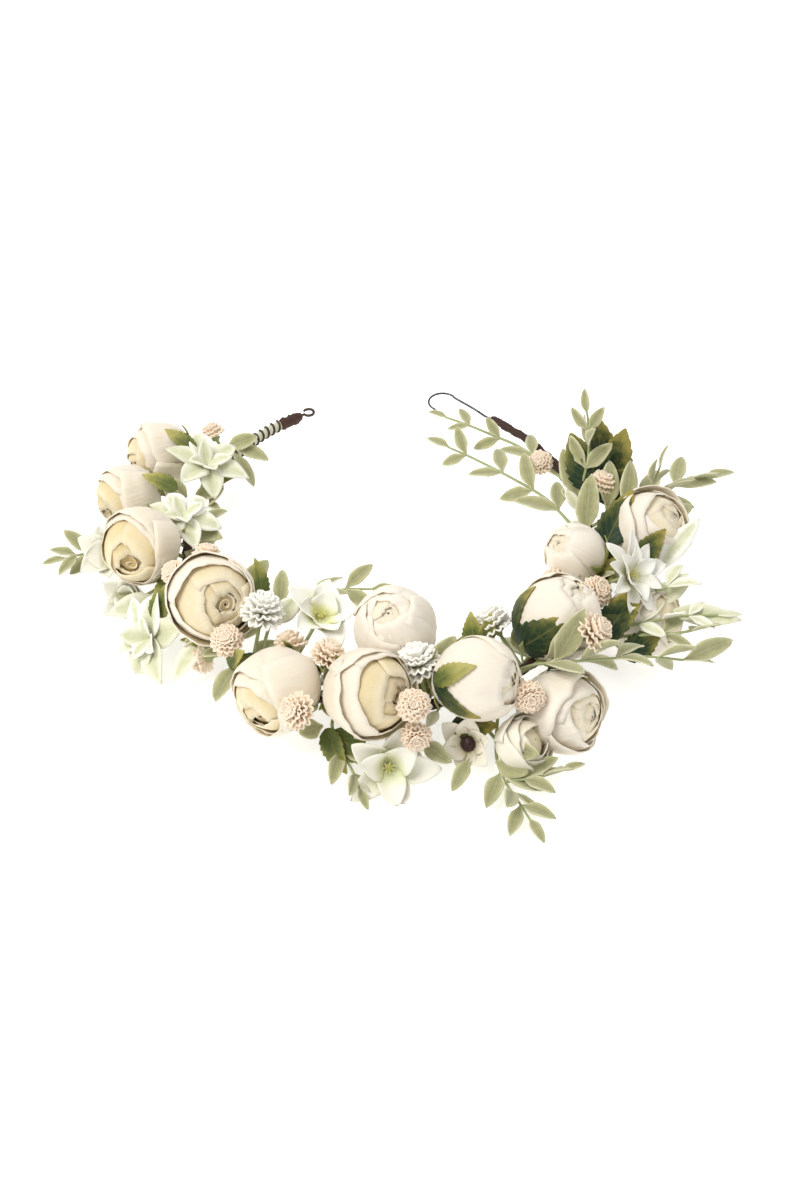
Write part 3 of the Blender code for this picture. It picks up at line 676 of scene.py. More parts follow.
def make_blossom(pile, centre, facing, radius, look, rng):
    axes = axes_about(facing)
    facing = axes[:, 2]
    if look == "broad":
        ball = (centre, axes, radius * 1.35)
        for ring, (rim, share, flare) in enumerate(((74, 1.0, 0.14), (60, 0.9, 0.06), (40, 0.8, 0.03))):
            for i in range(3):
                turn = 120 * i + 60 * ring + rng.uniform(-8, 8)
                rose_petal(pile, ball, turn, 74, rim, share, flare, 0.5, ring, rng)
        rose_core(pile, ball, 0.72, 0.8, 0.9)
        return
    count, length, width, rise, bend, cup, kind, second = BLOSSOMS[look]
    deep = centre - facing * radius * 0.35
    offset = rng.uniform(0, 360)
    rings = [(count, 1.0, 0.0)] + ([(second, 0.78, 18.0)] if second else [])
    for petals, scale, extra in rings:
        for i in range(petals):
            angle = math.radians(offset + 360 * (i + rng.uniform(-0.09, 0.09)) / petals + extra * 2)
            tilt = math.radians(90 - rise - extra + rng.uniform(-7, 7))
            outward, heading, over = petal_axes(axes, angle, tilt)
            start = deep + outward * radius * 0.12
            blade(pile, start, heading, over, radius * length * scale * rng.uniform(0.9, 1.08),
                  radius * width * rng.uniform(0.92, 1.08), kind, rows=13, columns=9,
                  bend=bend + rng.uniform(-8, 8), cup=cup, wave=0.05, phase=rng.uniform(0, 6),
                  thickness=0.35, shade=rng.uniform(0, 1), depth=(1.0, 0.0))
    eye = 1 if look in ("folded", "burgundy") else 2
    rim = deep + facing * radius * 0.3
    wide = radius * {"folded": 0.22, "burgundy": 0.34}.get(look, 0.12)
    cone = [deep - facing * radius * 0.1, deep + facing * radius * 0.1, rim]
    pile.tube(cone, [wide * 0.5, wide * 0.8, wide], 10, eye)
    for i in range(STAMENS):
        angle = 2 * math.pi * i / STAMENS + rng.uniform(-0.2, 0.2)
        outward, _, _ = petal_axes(axes, angle)
        start = rim + outward * wide * 0.5
        end = rim + outward * radius * 0.24 + facing * radius * rng.uniform(0.1, 0.24)
        middle = start + facing * radius * 0.15
        pile.tube(bezier(start, middle, end, 4), np.linspace(0.14, 0.26, 5), 5, eye)


# leaves, their length and width as shares of the radius, rise above flat
STAR_WHORLS = [(6, 1.75, 1.08, 16), (4, 1.1, 0.68, 50)]


def make_star(pile, centre, facing, radius, rng):
    """Whorl of folded, pointed leaves, with a smaller whorl in its middle."""
    axes = axes_about(facing)
    facing = axes[:, 2]
    offset = rng.uniform(0, 360)
    for count, length, width, rise in STAR_WHORLS:
        for i in range(count):
            angle = math.radians(offset + 360 * (i + rng.uniform(-0.12, 0.12)) / count)
            tilt = math.radians(90 - rise + rng.uniform(-10, 10))
            _, heading, over = petal_axes(axes, angle, tilt)
            blade(pile, centre - facing * radius * 0.2, heading, over,
                  radius * length * rng.uniform(0.88, 1.1), radius * width * rng.uniform(0.9, 1.1), "mint",
                  rows=13, columns=9,
                  bend=rng.uniform(-45, -15), fold=0.32, wave=0.04, phase=rng.uniform(0, 6),
                  thickness=0.6, shade=rng.uniform(0, 1), depth=(1.0, 0.0))
        offset += 30


def make_spray(name):
    shape, root, heads = SPRAYS[name]
    rng = random_for(name)
    foot = stem_foot(root, sum(band_place(*head[0]) for head in heads) / len(heads))
    pile, green = Pile(), Pile()
    for place, radius, look, *given in heads:
        centre = band_place(*place)
        facing = unit(given[0] if given else centre - foot)
        back = centre - facing * radius * 0.5
        stalk = np.linspace(STEM_RADIUS * 0.9, STEM_RADIUS, STEM_STEPS + 1)
        green.tube(stem_route(back, facing, foot), stalk)
        if shape == "mum":
            make_mum(pile, centre, facing, radius, look, rng)
            green.tube([back - facing * 0.8, back, centre], [radius * 0.2, radius * 0.42, radius * 0.3], 10)
        elif shape == "blossom":
            make_blossom(pile, centre, facing, radius, look, rng)
        else:
            make_star(pile, centre, facing, radius, rng)
    looks, slot = {
        "blush": ([blush_look], "blush_plastic"),
        "white": ([white_look], "white_plastic"),
        "mint": ([mint_look], "mint_leaf"),
    }.get(heads[0][2]) or ([blossom_looks[heads[0][2]], dark_eye_look, pale_eye_look], "blossom_petal")
    pile.piece(name + "_heads", body_of(name), looks, slot, [name])
    green.piece(name + "_stem", body_of(name), [stem_look], "sage_leaf")


# ---------------------------------------------------------------- sprigs

LEAF_ANGLE = 40.0
LEAF_GROWTH = 1.18


def grow_sprig(pile, corners, bare, pairs, length, rng, width=0.4):
    route = smooth_route(corners)
    count = len(route)
    pile.tube(route, np.linspace(0.75, 0.5, count), slot=1)
    tangents, sides, tops = frames(route)
    for pair in range(pairs):
        share = bare + (1 - bare) * pair / pairs
        index = round(share * (count - 1))
        tangent, side, top = tangents[index], sides[index], tops[index]
        if pair % 2:
            side = unit(side + top)
        reach = length * LEAF_GROWTH * (1 - 0.1 * pair)
        over = unit(np.cross(side, tangent))
        if over.dot(UP) < 0:
            over = -over
        for hand in (-1, 1):
            angle = math.radians(LEAF_ANGLE + rng.uniform(-7, 7))
            lean = tangent * math.cos(angle) + side * (hand * math.sin(angle))
            size = reach * rng.uniform(0.9, 1.08)
            leaf_between(pile, route[index], route[index] + lean * size, over, size * width, "lance", rng,
                         bend=rng.uniform(-30, 5), fold=0.42, thickness=0.55, depth=(1.0, 0.0))
    tip = route[-1] + tangents[-1] * length * 0.72
    leaf_between(pile, route[-1] - tangents[-1], tip, tops[-1], length * 0.3, "lance", rng,
                 bend=-12, fold=0.35, thickness=0.55, depth=(1.0, 0.0))


def make_sprig(name):
    corners, bare, pairs, length = SPRIGS[name]
    rng = random_for(name)
    pile = Pile()
    grow_sprig(pile, corners, bare, pairs, length, rng)
    if name == "sprig_front_right":
        grow_sprig(pile, *FRONT_BRANCH, rng)
    pile.piece(name + "_leaves", body_of(name), [sage_look, stem_look], "sage_leaf", [name])


# ---------------------------------------------------------------- band, binding, hook

TAPE_STEP = 0.9
TAPE_PITCH = 6.5
TAPE_SIDES = 16


def band_line(first, last, step=TAPE_STEP):
    degrees = math.degrees(step / HALF_DEPTH)
    count = max(8, int(abs(last - first) / degrees))
    along = np.linspace(first, last, count)
    return along, np.array([band_place(t) for t in along])


def tape_radius(along, lump=1.0):
    """Overlapping turns of crinkled paper tape, as a radius for each ring and side."""
    length = (np.radians(along) * HALF_DEPTH)[:, None]
    around = np.arange(TAPE_SIDES)[None, :] / TAPE_SIDES
    lap = (length / TAPE_PITCH + around) % 1.0
    lumps = 0.1 * np.sin(length * 0.31 + around * 5) + 0.07 * np.sin(length * 0.83 + around * 12.6 + 1)
    crinkle = 0.04 * np.sin(length * 3.1 + around * 18.8)
    return WRAP_RADIUS * (0.93 + 0.16 * lap ** 1.5 + lump * (lumps + crinkle))


def make_band():
    sections = {
        "left_pale": (LEFT_END + 1.6, PALE_FROM, "left_arm", 0.25),
        "left": (PALE_FROM - 0.4, LEFT_HINGE - BLEND_REACH, "left_arm", 1.0),
        "front": (LEFT_HINGE + BLEND_REACH, RIGHT_HINGE - BLEND_REACH, "front", 1.0),
        "right": (RIGHT_HINGE + BLEND_REACH, RIGHT_END, "right_arm", 1.3),
    }
    for section, (first, last, body, lump) in sections.items():
        pile = Pile()
        along, route = band_line(first, last)
        radius = tape_radius(along, lump)
        look, replaced = tape_look, ["band_wrap_" + section]
        if section == "left_pale":
            radius = radius * 0.94
            look, replaced = pale_core_look, []
        if section == "right":
            radius = radius * (0.82 + 0.26 * np.linspace(1, 0, len(along)) ** 0.7)[:, None]
        pile.tube(route, radius, TAPE_SIDES)
        pile.piece("tape_" + section, body, [look], "floral_tape", replaced)
    for section, hinge, near, far in (("left", LEFT_HINGE, "left_arm", "front"),
                                      ("right", RIGHT_HINGE, "front", "right_arm")):
        pile = Pile()
        first, last = hinge - BLEND_REACH, hinge + BLEND_REACH
        along, route = band_line(first - 0.6, last + 0.6)
        pile.tube(route, tape_radius(along) * 1.01, TAPE_SIDES)
        made = pile.piece("tape_bend_" + section, None, [tape_look], "floral_tape")
        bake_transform(made)


def coil(first, last, turns, radius, hand=1.0, phase=0.0):
    """Turns of wire wound round the band between two angles."""
    count = int(turns * 20)
    share = np.linspace(0, 1, count + 1)
    core = np.array([band_place(first + (last - first) * t) for t in share])
    _, side, top = frames(core)
    angle = (hand * 2 * math.pi * turns * share + phase)[:, None]
    return core + (side * np.cos(angle) + top * np.sin(angle)) * radius


def make_binding():
    pile = Pile()
    outer = WRAP_RADIUS + BINDING_RADIUS * 0.55
    pile.tube(coil(BINDING_START, BINDING_END, BINDING_TURNS, outer), BINDING_RADIUS)
    pile.tube(coil(-120.5, -130.5, 3.0, outer + 0.2, -1.0, 1.0), BINDING_RADIUS * 0.9)
    pile.tube(coil(-119.0, -128.0, 3.0, outer + 0.1), BINDING_RADIUS * 0.9)
    pile.piece("binding_wire", "left_arm", [wire_look], "dark_wire", ["tip_binding"])
    tip = Pile()
    along, route = band_line(LEFT_END + 0.3, LEFT_END + 5.5, 0.4)
    tip.tube(route, tape_radius(along, 1.6) * 1.2, TAPE_SIDES)
    tip.piece("tape_left_tip", "left_arm", [tip_look], "floral_tape")


def make_hook():
    end = band_place(RIGHT_END)
    heading = unit(end - band_place(RIGHT_END - 1))
    start = end + heading * 0.2
    arc = []
    for i in range(12):
        angle = math.radians(25.0 + 210.0 * i / 11)
        arc.append(HOOK_CENTRE + np.array((math.cos(angle), math.sin(angle), 0)) * HOOK_RADIUS)
    route = smooth_route([start, start + heading * 5, (start + arc[0]) / 2] + arc, 6)
    pile = Pile()
    pile.tube(route, np.linspace(HOOK_WIRE_RADIUS, HOOK_WIRE_RADIUS * 0.85, len(route)), 12)
    pile.piece("hook_wire", "closing_hook", [hook_look], "dark_wire", ["closing_hook"])


# ---------------------------------------------------------------- trims that only dress the crown

# name: body, kind, then leaves as (base, tip, the way its face looks, width)
TRIM_LEAVES = {
    "dark_leaves_back_right": ("right_arm", "dark", [
        ((87, 22, 22), (76, 40, 40), (-0.3, -0.8, 0.5), 17),
        ((88, 23, 22), (100, 43, 40), (0.3, -0.8, 0.5), 18),
        ((89, 25, 24), (88, 46, 44), (0, -0.9, 0.4), 17),
        ((88, 18, 20), (103, 26, 32), (0.2, -0.6, 0.8), 14),
    ]),
    "dark_leaves_right": ("right_arm", "dark", [
        ((86, -20, 26), (99, 0, 42), (-0.3, -0.75, 0.6), 14),
        ((97, -34, 30), (111, -20, 38), (-0.1, -0.7, 0.7), 10),
        ((82, -68, 18), (100, -44, 28), (-0.4, -0.5, 0.8), 15),
        ((82, -58, 20), (98, -54, 28), (-0.1, -0.7, 0.7), 12),
        ((92, -68, 12), (107, -60, 20), (-0.2, -0.8, 0.5), 12),
        ((80, -40, 18), (92, -24, 26), (-0.6, -0.3, 0.8), 13),
        ((84, -28, 16), (96, -10, 20), (-0.2, -0.6, 0.8), 14),
    ]),
    "dark_leaves_bud": ("front", "dark", [
        ((60, -84, 22), (75, -92, 24), (0, -0.8, 0.6), 12),
        ((22, -106, 14), (40, -106, 14), (0, -0.9, 0.4), 11),
    ]),
    "olive_leaves_left": ("left_arm", "olive", [
        ((-86, 38, 32), (-100, 45, 38), (-0.1, -0.3, 0.9), 7),
        ((-92, 12, 32), (-107, 17, 36), (0.2, -0.4, 0.9), 8),
        ((-88, -28, 20), (-98, -44, 18), (-0.5, -0.6, 0.6), 11),
    ]),
    "olive_leaves_front": ("front", "olive", [
        ((-98, -52, 18), (-83, -41, 31), (-0.5, -0.7, 0.6), 11),
        ((-66, -76, 18), (-58, -84, 32), (-0.6, -0.7, 0.4), 9),
        ((-54, -76, 22), (-61, -88, 24), (-0.5, -0.7, 0.5), 8),
        ((-54, -43, 20), (-57, -31, 32), (0.6, -0.6, 0.5), 8),
        ((-16, -100, 16), (-22, -87, 27), (-0.5, -0.8, 0.4), 9),
        ((-24, -110, 14), (-6, -121, 8), (-0.2, -0.7, 0.7), 12),
        ((-26, -108, 14), (-18, -124, 6), (-0.4, -0.6, 0.7), 10),
        ((32, -76, 24), (30, -66, 36), (-0.3, -0.7, 0.6), 9),
        ((34, -76, 24), (38, -66, 36), (0.3, -0.7, 0.6), 8),
    ]),
    "sage_leaves_left": ("left_arm", "sage", [
        ((-75, 51, 22), (-61, 56, 25), (0.1, -0.3, 0.9), 8),
        ((-72, 52, 20), (-62, 35, 14), (0.5, -0.2, 0.8), 7),
        ((-70, 54, 20), (-56, 48, 18), (0.3, -0.3, 0.8), 7),
        ((-86, -2, 20), (-72, -10, 24), (0.4, -0.5, 0.8), 8),
        ((-88, -12, 18), (-76, -24, 22), (0.3, -0.6, 0.8), 7),
        ((-88, 20, 18), (-74, 26, 22), (0.3, -0.2, 0.9), 7),
    ]),
    "sage_leaves_front": ("front", "sage", [
        ((-68, -31, 22), (-79, -20, 26), (0.1, -0.5, 0.8), 8),
        ((-62, -38, 22), (-52, -26, 26), (0.2, -0.5, 0.8), 8),
        ((-62, -78, 18), (-70, -92, 12), (-0.5, -0.6, 0.6), 9),
        ((-27, -112, 20), (-36, -114, 18), (-0.2, -0.6, 0.7), 8),
        ((10, -114, 14), (22, -120, 8), (0.1, -0.8, 0.6), 7),
        ((14, -86, 24), (24, -76, 32), (0, -0.6, 0.8), 8),
        ((62, -88, 30), (73, -80, 51), (-0.1, -0.9, 0.45), 10),
        ((29, -118, 8), (22, -131, 4), (0, -0.5, 0.9), 6),
    ]),
    "sage_leaves_right": ("right_arm", "sage", [
        ((80, 22, 18), (73, 39, 32), (-0.3, -0.8, 0.5), 9),
        ((90, 8, 24), (92, 26, 36), (0.2, -0.9, 0.4), 9),
        ((97, 8, 24), (101, 26, 36), (0.2, -0.9, 0.4), 8),
        ((80, -6, 22), (83, 12, 40), (-0.3, -0.9, 0.4), 10),
        ((76, -36, 26), (68, -22, 32), (-0.5, -0.7, 0.5), 8),
        ((100, 16, 20), (118, 12, 26), (0, -0.6, 0.8), 8),
        ((102, -6, 24), (126, 6, 28), (0.1, -0.6, 0.8), 9),
    ]),
    "sage_leaves_long": ("sprig_right_long", "sage", [
        ((113, -82, 25), (133, -73, 27), (0, -0.5, 0.85), 8),
    ]),
    "mint_leaves_right": ("right_arm", "mint", [
        ((108, -30, 24), (127, -8, 33), (-0.3, -0.6, 0.7), 9),
        ((104, -44, 20), (120, -42, 30), (-0.1, -0.7, 0.7), 9),
        ((112, -50, 20), (139, -58, 23), (0.1, -0.6, 0.8), 9),
    ]),
    "sage_leaves_sprig": ("sprig_front_right", "sage", [
        ((40, -112, 9), (55, -124, 17), (0, -0.7, 0.7), 9),
        ((39, -118, 6), (51, -126, 9), (0.1, -0.7, 0.7), 9),
    ]),
    "mint_leaves_left": ("left_arm", "mint", [
        ((-96, -34, 10), (-118, -38, 8), (-0.2, -0.6, 0.8), 11),
        ((-84, 30, 26), (-74, 40, 30), (0.2, -0.4, 0.9), 9),
    ]),
    "mint_leaves_front": ("front", "mint", [
        ((-94, -46, 10), (-112, -58, 5), (-0.2, -0.6, 0.8), 11),
        ((-48, -60, 24), (-38, -52, 30), (0.1, -0.6, 0.8), 9),
        ((-76, -60, 16), (-88, -76, 6), (-0.4, -0.6, 0.7), 9),
        ((-2, -112, 12), (12, -122, 8), (0.1, -0.7, 0.7), 9),
    ]),
}

# name: body, kind, then leaves laid over a ball as (ball, base and tip as directions from its middle,
# distance out as a share of its radius, width)
CLASPS = {
    "clasp_dark": ("front", "dark", [
        ("rose_07", (-0.95, -0.05, 0.29), (0.06, -0.97, -0.23), 1.06, 9),
        ("rose_08", (-0.81, -0.4, -0.42), (0.17, -0.66, 0.74), 1.06, 16),
        ("rose_08", (-0.91, -0.28, -0.3), (-0.5, 0.2, 0.84), 1.05, 11),
    ]),
    "clasp_olive": ("front", "olive", [
        ("rose_07", (-0.93, -0.31, 0.22), (-0.06, -0.47, 0.88), 1.1, 9),
    ]),
    "clasp_sage": ("front", "sage", [
        ("rose_08", (-0.27, -0.94, -0.2), (0.44, -0.5, 0.74), 1.14, 9),
    ]),
}
BALLS = {name: (band_place(*rose[0]), rose[1] * ROSE_SWELL) for name, rose in ROSES.items()}

# name: body, kind, corners, bare share, leaf pairs, leaf length
TRIM_SPRIGS = {
    "sprig_trim_inner": ("right_arm", "sage", [(78, 34, 15), (66, 46, 17), (56, 57, 18), (43, 65, 19),
                                               (32, 71, 20), (23, 76, 20)], 0.3, 3, 12),
    "sprig_trim_right": ("right_arm", "mint", [(86, -56, 17), (98, -58, 21), (112, -57, 24), (130, -56, 24)],
                         0.35, 3, 13),
    "sprig_trim_low": ("right_arm", "sage", [(86, -60, 15), (100, -63, 20), (114, -62, 20), (127, -58, 20)],
                       0.5, 2, 12),
    "sprig_trim_pale": ("right_arm", "mint", [(88, -40, 17), (98, -44, 24), (108, -46, 29), (112, -44, 30)],
                        0.8, 1, 12),
    "sprig_trim_back": ("right_arm", "sage", [(86, 6, 15), (98, 3, 24), (108, 9, 35), (112, 15, 43)],
                        0.4, 2, 12),
}

TRIM_MUM_PLACE = np.array((64.0, 43.0, 21.0))

LEAF_KINDS = {
    # outline, slot name
    "dark": ("serrated", "rose_leaf"),
    "olive": ("serrated", "rose_leaf"),
    "sage": ("lance", "sage_leaf"),
    "mint": ("mint", "mint_leaf"),
}


def free_leaf(pile, shape, rng, base, tip, over, width):
    leaf_between(pile, base, tip, over, width, shape, rng, bend=rng.uniform(-34, -14))


def clasping_leaf(pile, shape, rng, ball, base, tip, out, width):
    """Leaf laid over a rose, bent as its surface is."""
    centre, radius = BALLS[ball]
    base, tip = unit(base), unit(tip)
    start, end = centre + base * radius * out, centre + tip * radius * out
    leaf_between(pile, start, end, base + tip, width, shape, rng,
                 bend=-math.degrees(math.acos(base.dot(tip))), fold=0.0, cup=-0.2 * width / radius, wave=0.01)


def make_trims():
    for table, lay in ((TRIM_LEAVES, free_leaf), (CLASPS, clasping_leaf)):
        for name, (body, kind, leaves) in table.items():
            rng = random_for(name)
            pile = Pile()
            shape, slot = LEAF_KINDS[kind]
            for leaf in leaves:
                lay(pile, shape, rng, *leaf)
            pile.piece(name, body, [LEAF_LOOKS[kind]], slot)
    for name, (body, kind, *shape) in TRIM_SPRIGS.items():
        pile = Pile()
        grow_sprig(pile, *shape, random_for(name))
        pile.piece(name, body, [LEAF_LOOKS[kind], stem_look], LEAF_KINDS[kind][1])
    pile = Pile()
    make_mum(pile, TRIM_MUM_PLACE, (-0.3, -0.5, 0.8), 5.0, "blush", random_for("mum_trim"))
    pile.tube(bezier(TRIM_MUM_PLACE, TRIM_MUM_PLACE - UP * 4, band_place(115), 8), 0.7)
    pile.piece("mum_trim", "right_arm", [blush_look], "blush_plastic")


FILL_FROM = -113.0
FILL_STEP = 3.7
FILL_COUNT = 60
SPRIG_CLEAR = 4.0
HINGE_CLEAR = 5.5
BODY_CLEAR = 1.3


def make_fillers():
    """Small leaves that close the gaps along the band, clear of the roses and of the sprigs that move."""
    rng = random_for("fillers")
    piles = {}
    heads = [(centre, radius * 0.97, body_of(name)) for name, (centre, radius) in BALLS.items()]
    for name, sprig in SPRIGS.items():
        if name in frame["bodies"]:
            heads += [(point, SPRIG_CLEAR, name) for point in smooth_route(sprig[0])[3:]]
    for step in range(FILL_COUNT):
        along = FILL_FROM + FILL_STEP * step
        if abs(along - RIGHT_HINGE) < HINGE_CLEAR:
            continue
        body = "left_arm" if along < LEFT_HINGE - 4 else "right_arm" if along > RIGHT_HINGE else "front"
        root = band_place(along, rng.uniform(-1, 1), BAND_HEIGHT + rng.uniform(-1, 1))
        for side in (-1, 1):
            kind = ("sage", "olive", "mint", "sage")[rng.integers(4)]
            outward = unit(band_place(along, 1, 0) - band_place(along, 0, 0))
            onward = unit(band_place(along + 1) - band_place(along))
            heading = unit(outward * side * rng.uniform(0.5, 1) + UP * rng.uniform(0.0, 0.9)
                           + onward * rng.uniform(-0.8, 0.8))
            size = rng.uniform(10, 15)
            base = root + heading * rng.uniform(1.5, 6)
            tip = base + heading * size
            if any(np.linalg.norm(point - centre) < radius * (1.0 if owner == body else BODY_CLEAR)
                   for centre, radius, owner in heads for point in (base, base + heading * size * 0.6, tip)):
                continue
            pile = piles.setdefault((body, kind), Pile())
            leaf_between(pile, base, tip, UP + outward * side * 0.3, size * rng.uniform(0.38, 0.55),
                         LEAF_KINDS[kind][0], rng, bend=rng.uniform(-40, -10))
            pile.tube([root, base, base + heading], 0.5, 6, 1)
    for (body, kind), pile in piles.items():
        pile.piece("filler_%s_%s" % (kind, body), body, [LEAF_LOOKS[kind], stem_look], LEAF_KINDS[kind][1])


# ---------------------------------------------------------------- materials

class Paint:
    """A node material built round one Principled BSDF."""

    def __init__(self, name, roughness, **fixed):
        self.material = bpy.data.materials.new(name)
        self.material.use_nodes = True
        self.tree = self.material.node_tree
        self.shader = self.tree.nodes["Principled BSDF"]
        self.shader.inputs["Roughness"].default_value = roughness
        self.shader.inputs["Subsurface Radius"].default_value = (1.0, 0.95, 0.85)
        for socket, value in fixed.items():
            self.shader.inputs[socket.replace("_", " ")].default_value = value
        self.place = self.node("TexCoord").outputs["Object"]
        self.tone = self.split("tone")
        self.lie = self.split("lie")

    def node(self, kind, **settings):
        made = self.tree.nodes.new("ShaderNode" + kind)
        for setting, value in settings.items():
            setattr(made, setting, value)
        return made

    def put(self, socket, value):
        if isinstance(value, bpy.types.NodeSocket):
            self.tree.links.new(value, socket)
        else:
            socket.default_value = value

    def split(self, layer):
        source = self.node("Attribute", attribute_name=layer)
        parts = self.node("SeparateColor")
        self.put(parts.inputs[0], source.outputs["Color"])
        return parts.outputs

    def maths(self, operation, first, second=0.0, clamp=False):
        made = self.node("Math", operation=operation, use_clamp=clamp)
        self.put(made.inputs[0], first)
        self.put(made.inputs[1], second)
        return made.outputs[0]

    def times(self, first, second):
        return self.maths("MULTIPLY", first, second)

    def plus(self, first, second):
        return self.maths("ADD", first, second)

    def minus(self, first, second, clamp=False):
        return self.maths("SUBTRACT", first, second, clamp)

    def mix(self, share, first, second, blend="MIX"):
        made = self.node("Mix", data_type="RGBA", blend_type=blend)
        self.put(made.inputs[0], share)
        self.put(made.inputs[6], first if not isinstance(first, tuple) else (*first, 1))
        self.put(made.inputs[7], second if not isinstance(second, tuple) else (*second, 1))
        return made.outputs[2]

    def wash(self, colour, where, share, other, blend="MIX"):
        """A colour turned by a share towards another, as far as where says."""
        return self.mix(self.times(where, share), colour, other, blend)

    def ramp(self, value, stops):
        made = self.node("ValToRGB")
        self.put(made.inputs[0], value)
        points = made.color_ramp.elements
        while len(points) < len(stops):
            points.new(0.5)
        for point, (place, colour) in zip(points, stops):
            point.position = place
            point.color = (*colour, 1)
        return made.outputs[0]

    def noise(self, size, detail):
        """Noise whose blotches are about size millimetres across, from 0 to 1."""
        made = self.node("TexNoise")
        self.put(made.inputs["Vector"], self.place)
        made.inputs["Scale"].default_value = 1 / (size * MM)
        made.inputs["Detail"].default_value = detail
        return made.outputs["Fac"]

    def streaks(self, across, along, detail=2.0):
        """Noise drawn out along a petal or leaf."""
        place = self.node("CombineXYZ")
        self.put(place.inputs[0], self.times(self.lie[0], across))
        self.put(place.inputs[1], self.times(self.lie[1], along))
        self.put(place.inputs[2], self.times(self.tone[2], 40.0))
        made = self.node("TexNoise")
        self.put(made.inputs["Vector"], place.outputs[0])
        made.inputs["Scale"].default_value = 1.0
        made.inputs["Detail"].default_value = detail
        return made.outputs["Fac"]

    def weave(self, pitch):
        """Fine crossed threads."""
        threads = []
        for direction in ("X", "Z"):
            made = self.node("TexWave", wave_type="BANDS", bands_direction=direction)
            self.put(made.inputs["Vector"], self.place)
            made.inputs["Scale"].default_value = 1 / (pitch * MM) / 3.3
            made.inputs["Distortion"].default_value = 1.5
            made.inputs["Detail"].default_value = 1.0
            threads.append(made.outputs["Fac"])
        return self.maths("MAXIMUM", threads[0], threads[1])

    def veins(self, count, thin, share, midrib):
        """Pressed veins: slanting ribs, thinner with thin, and a midrib."""
        spread = self.maths("ABSOLUTE", self.minus(self.lie[0], 0.5))
        ribs = self.minus(self.times(self.lie[1], count), self.times(spread, 5.0))
        rib = self.minus(1.0, self.times(self.maths("PINGPONG", ribs, 0.5), thin), True)
        middle = self.minus(1.0, self.times(spread, midrib), True)
        return self.maths("MAXIMUM", self.times(rib, share), middle)

    def bump(self, height, distance, strength, under=None):
        made = self.node("Bump")
        made.inputs["Strength"].default_value = strength
        made.inputs["Distance"].default_value = distance * MM
        self.put(made.inputs["Height"], height)
        if under:
            self.put(made.inputs["Normal"], under)
        return made.outputs[0]

    def finish(self, colour, normal, roughness=None):
        self.put(self.shader.inputs["Base Color"], colour)
        self.put(self.shader.inputs["Normal"], normal)
        if roughness:
            self.put(self.shader.inputs["Roughness"], roughness)
        return self.material


def blend_colours(first, second, share):
    return tuple(np.array(first) * (1 - share) + np.array(second) * share)


def rose_tint(yellow):
    """Pressed ivory fabric whose heart turns from cream to ochre."""
    name = "rose_fabric_%02d" % round(yellow * 10)
    found = bpy.data.materials.get(name)
    if found:
        return found
    paint = Paint(name, 0.62, Sheen_Weight=0.1, Sheen_Roughness=0.5, Specular_IOR_Level=0.3,
                  Subsurface_Weight=0.15, Subsurface_Scale=0.001)
    ivory = blend_colours((0.855, 0.785, 0.68), (0.81, 0.72, 0.58), yellow)
    cream = blend_colours((0.84, 0.745, 0.57), (0.76, 0.635, 0.37), yellow)
    ochre = blend_colours((0.70, 0.57, 0.32), (0.46, 0.33, 0.095), yellow)
    colour = paint.ramp(paint.tone[0], [(0.0, ivory), (0.15, ivory), (0.45, cream), (1.0, ochre)])
    blotch = paint.minus(paint.noise(9.0, 2.0), 0.42, True)
    peach = blend_colours(ivory, (0.90, 0.76, 0.66), min(1.0, yellow + 0.3))
    colour = paint.wash(colour, blotch, 0.6, peach)
    colour = paint.wash(colour, paint.tone[1], 0.35, (0.90, 0.85, 0.74))
    streak = paint.streaks(26.0, 2.5)
    colour = paint.wash(colour, streak, 0.14, (0.80, 0.72, 0.55), "MULTIPLY")
    colour = paint.wash(colour, paint.tone[2], 0.10, (0.84, 0.80, 0.66))
    normal = paint.bump(streak, 0.5, 0.6)
    normal = paint.bump(paint.noise(5.0, 3.0), 0.5, 0.5, normal)
    normal = paint.bump(paint.weave(0.38), 0.06, 0.5, normal)
    return paint.finish(colour, normal)


def leaf_paint(name, deep, mid, edge, roughness, veins=0.3, grain=0.25, rim=0.6, other=None, **fixed):
    """Leaf colour from its midrib out to its margin, with veins, flock or weave."""
    paint = Paint(name, roughness, **fixed)
    vein = paint.veins(7.0, 8.0, 0.55, 22.0)
    mottle = paint.times(paint.minus(paint.noise(2.6, 4.0), 0.5), 0.7)
    margin = paint.plus(paint.tone[1], mottle)
    colour = paint.ramp(margin, [(0.0, deep), (0.45, mid), (rim, mid), (1.0, edge)])
    colour = paint.wash(colour, vein, veins, edge)
    colour = paint.wash(colour, paint.tone[2], 0.6 if other else 0.22, other or mid)
    fine = paint.noise(0.35, 2.0)
    colour = paint.wash(colour, fine, grain, edge)
    normal = paint.bump(vein, 0.25, -0.5)
    normal = paint.bump(fine, 0.12, 0.6, normal)
    return paint.finish(colour, normal)


def dark_leaf_paint(name, base, middle, tip):
    """Printed fabric leaf, dark at its base and olive towards its tip and margin, with pressed veins."""
    paint = Paint(name, 0.55, Specular_IOR_Level=0.22)
    vein = paint.veins(6.0, 9.0, 0.5, 26.0)
    cloud = paint.times(paint.minus(paint.noise(4.0, 3.0), 0.5), 0.8)
    fade = paint.plus(paint.times(paint.lie[1], 0.95), cloud)
    fade = paint.plus(fade, paint.times(paint.tone[1], 0.25))
    fade = paint.plus(fade, paint.times(paint.minus(paint.tone[2], 0.5), 0.3))
    colour = paint.ramp(fade, [(0.0, base), (0.38, base), (0.68, middle), (1.0, tip)])
    colour = paint.wash(colour, vein, 0.3, tip)
    normal = paint.bump(vein, 0.3, -0.6)
    normal = paint.bump(paint.weave(0.4), 0.05, 0.5, normal)
    return paint.finish(colour, normal)


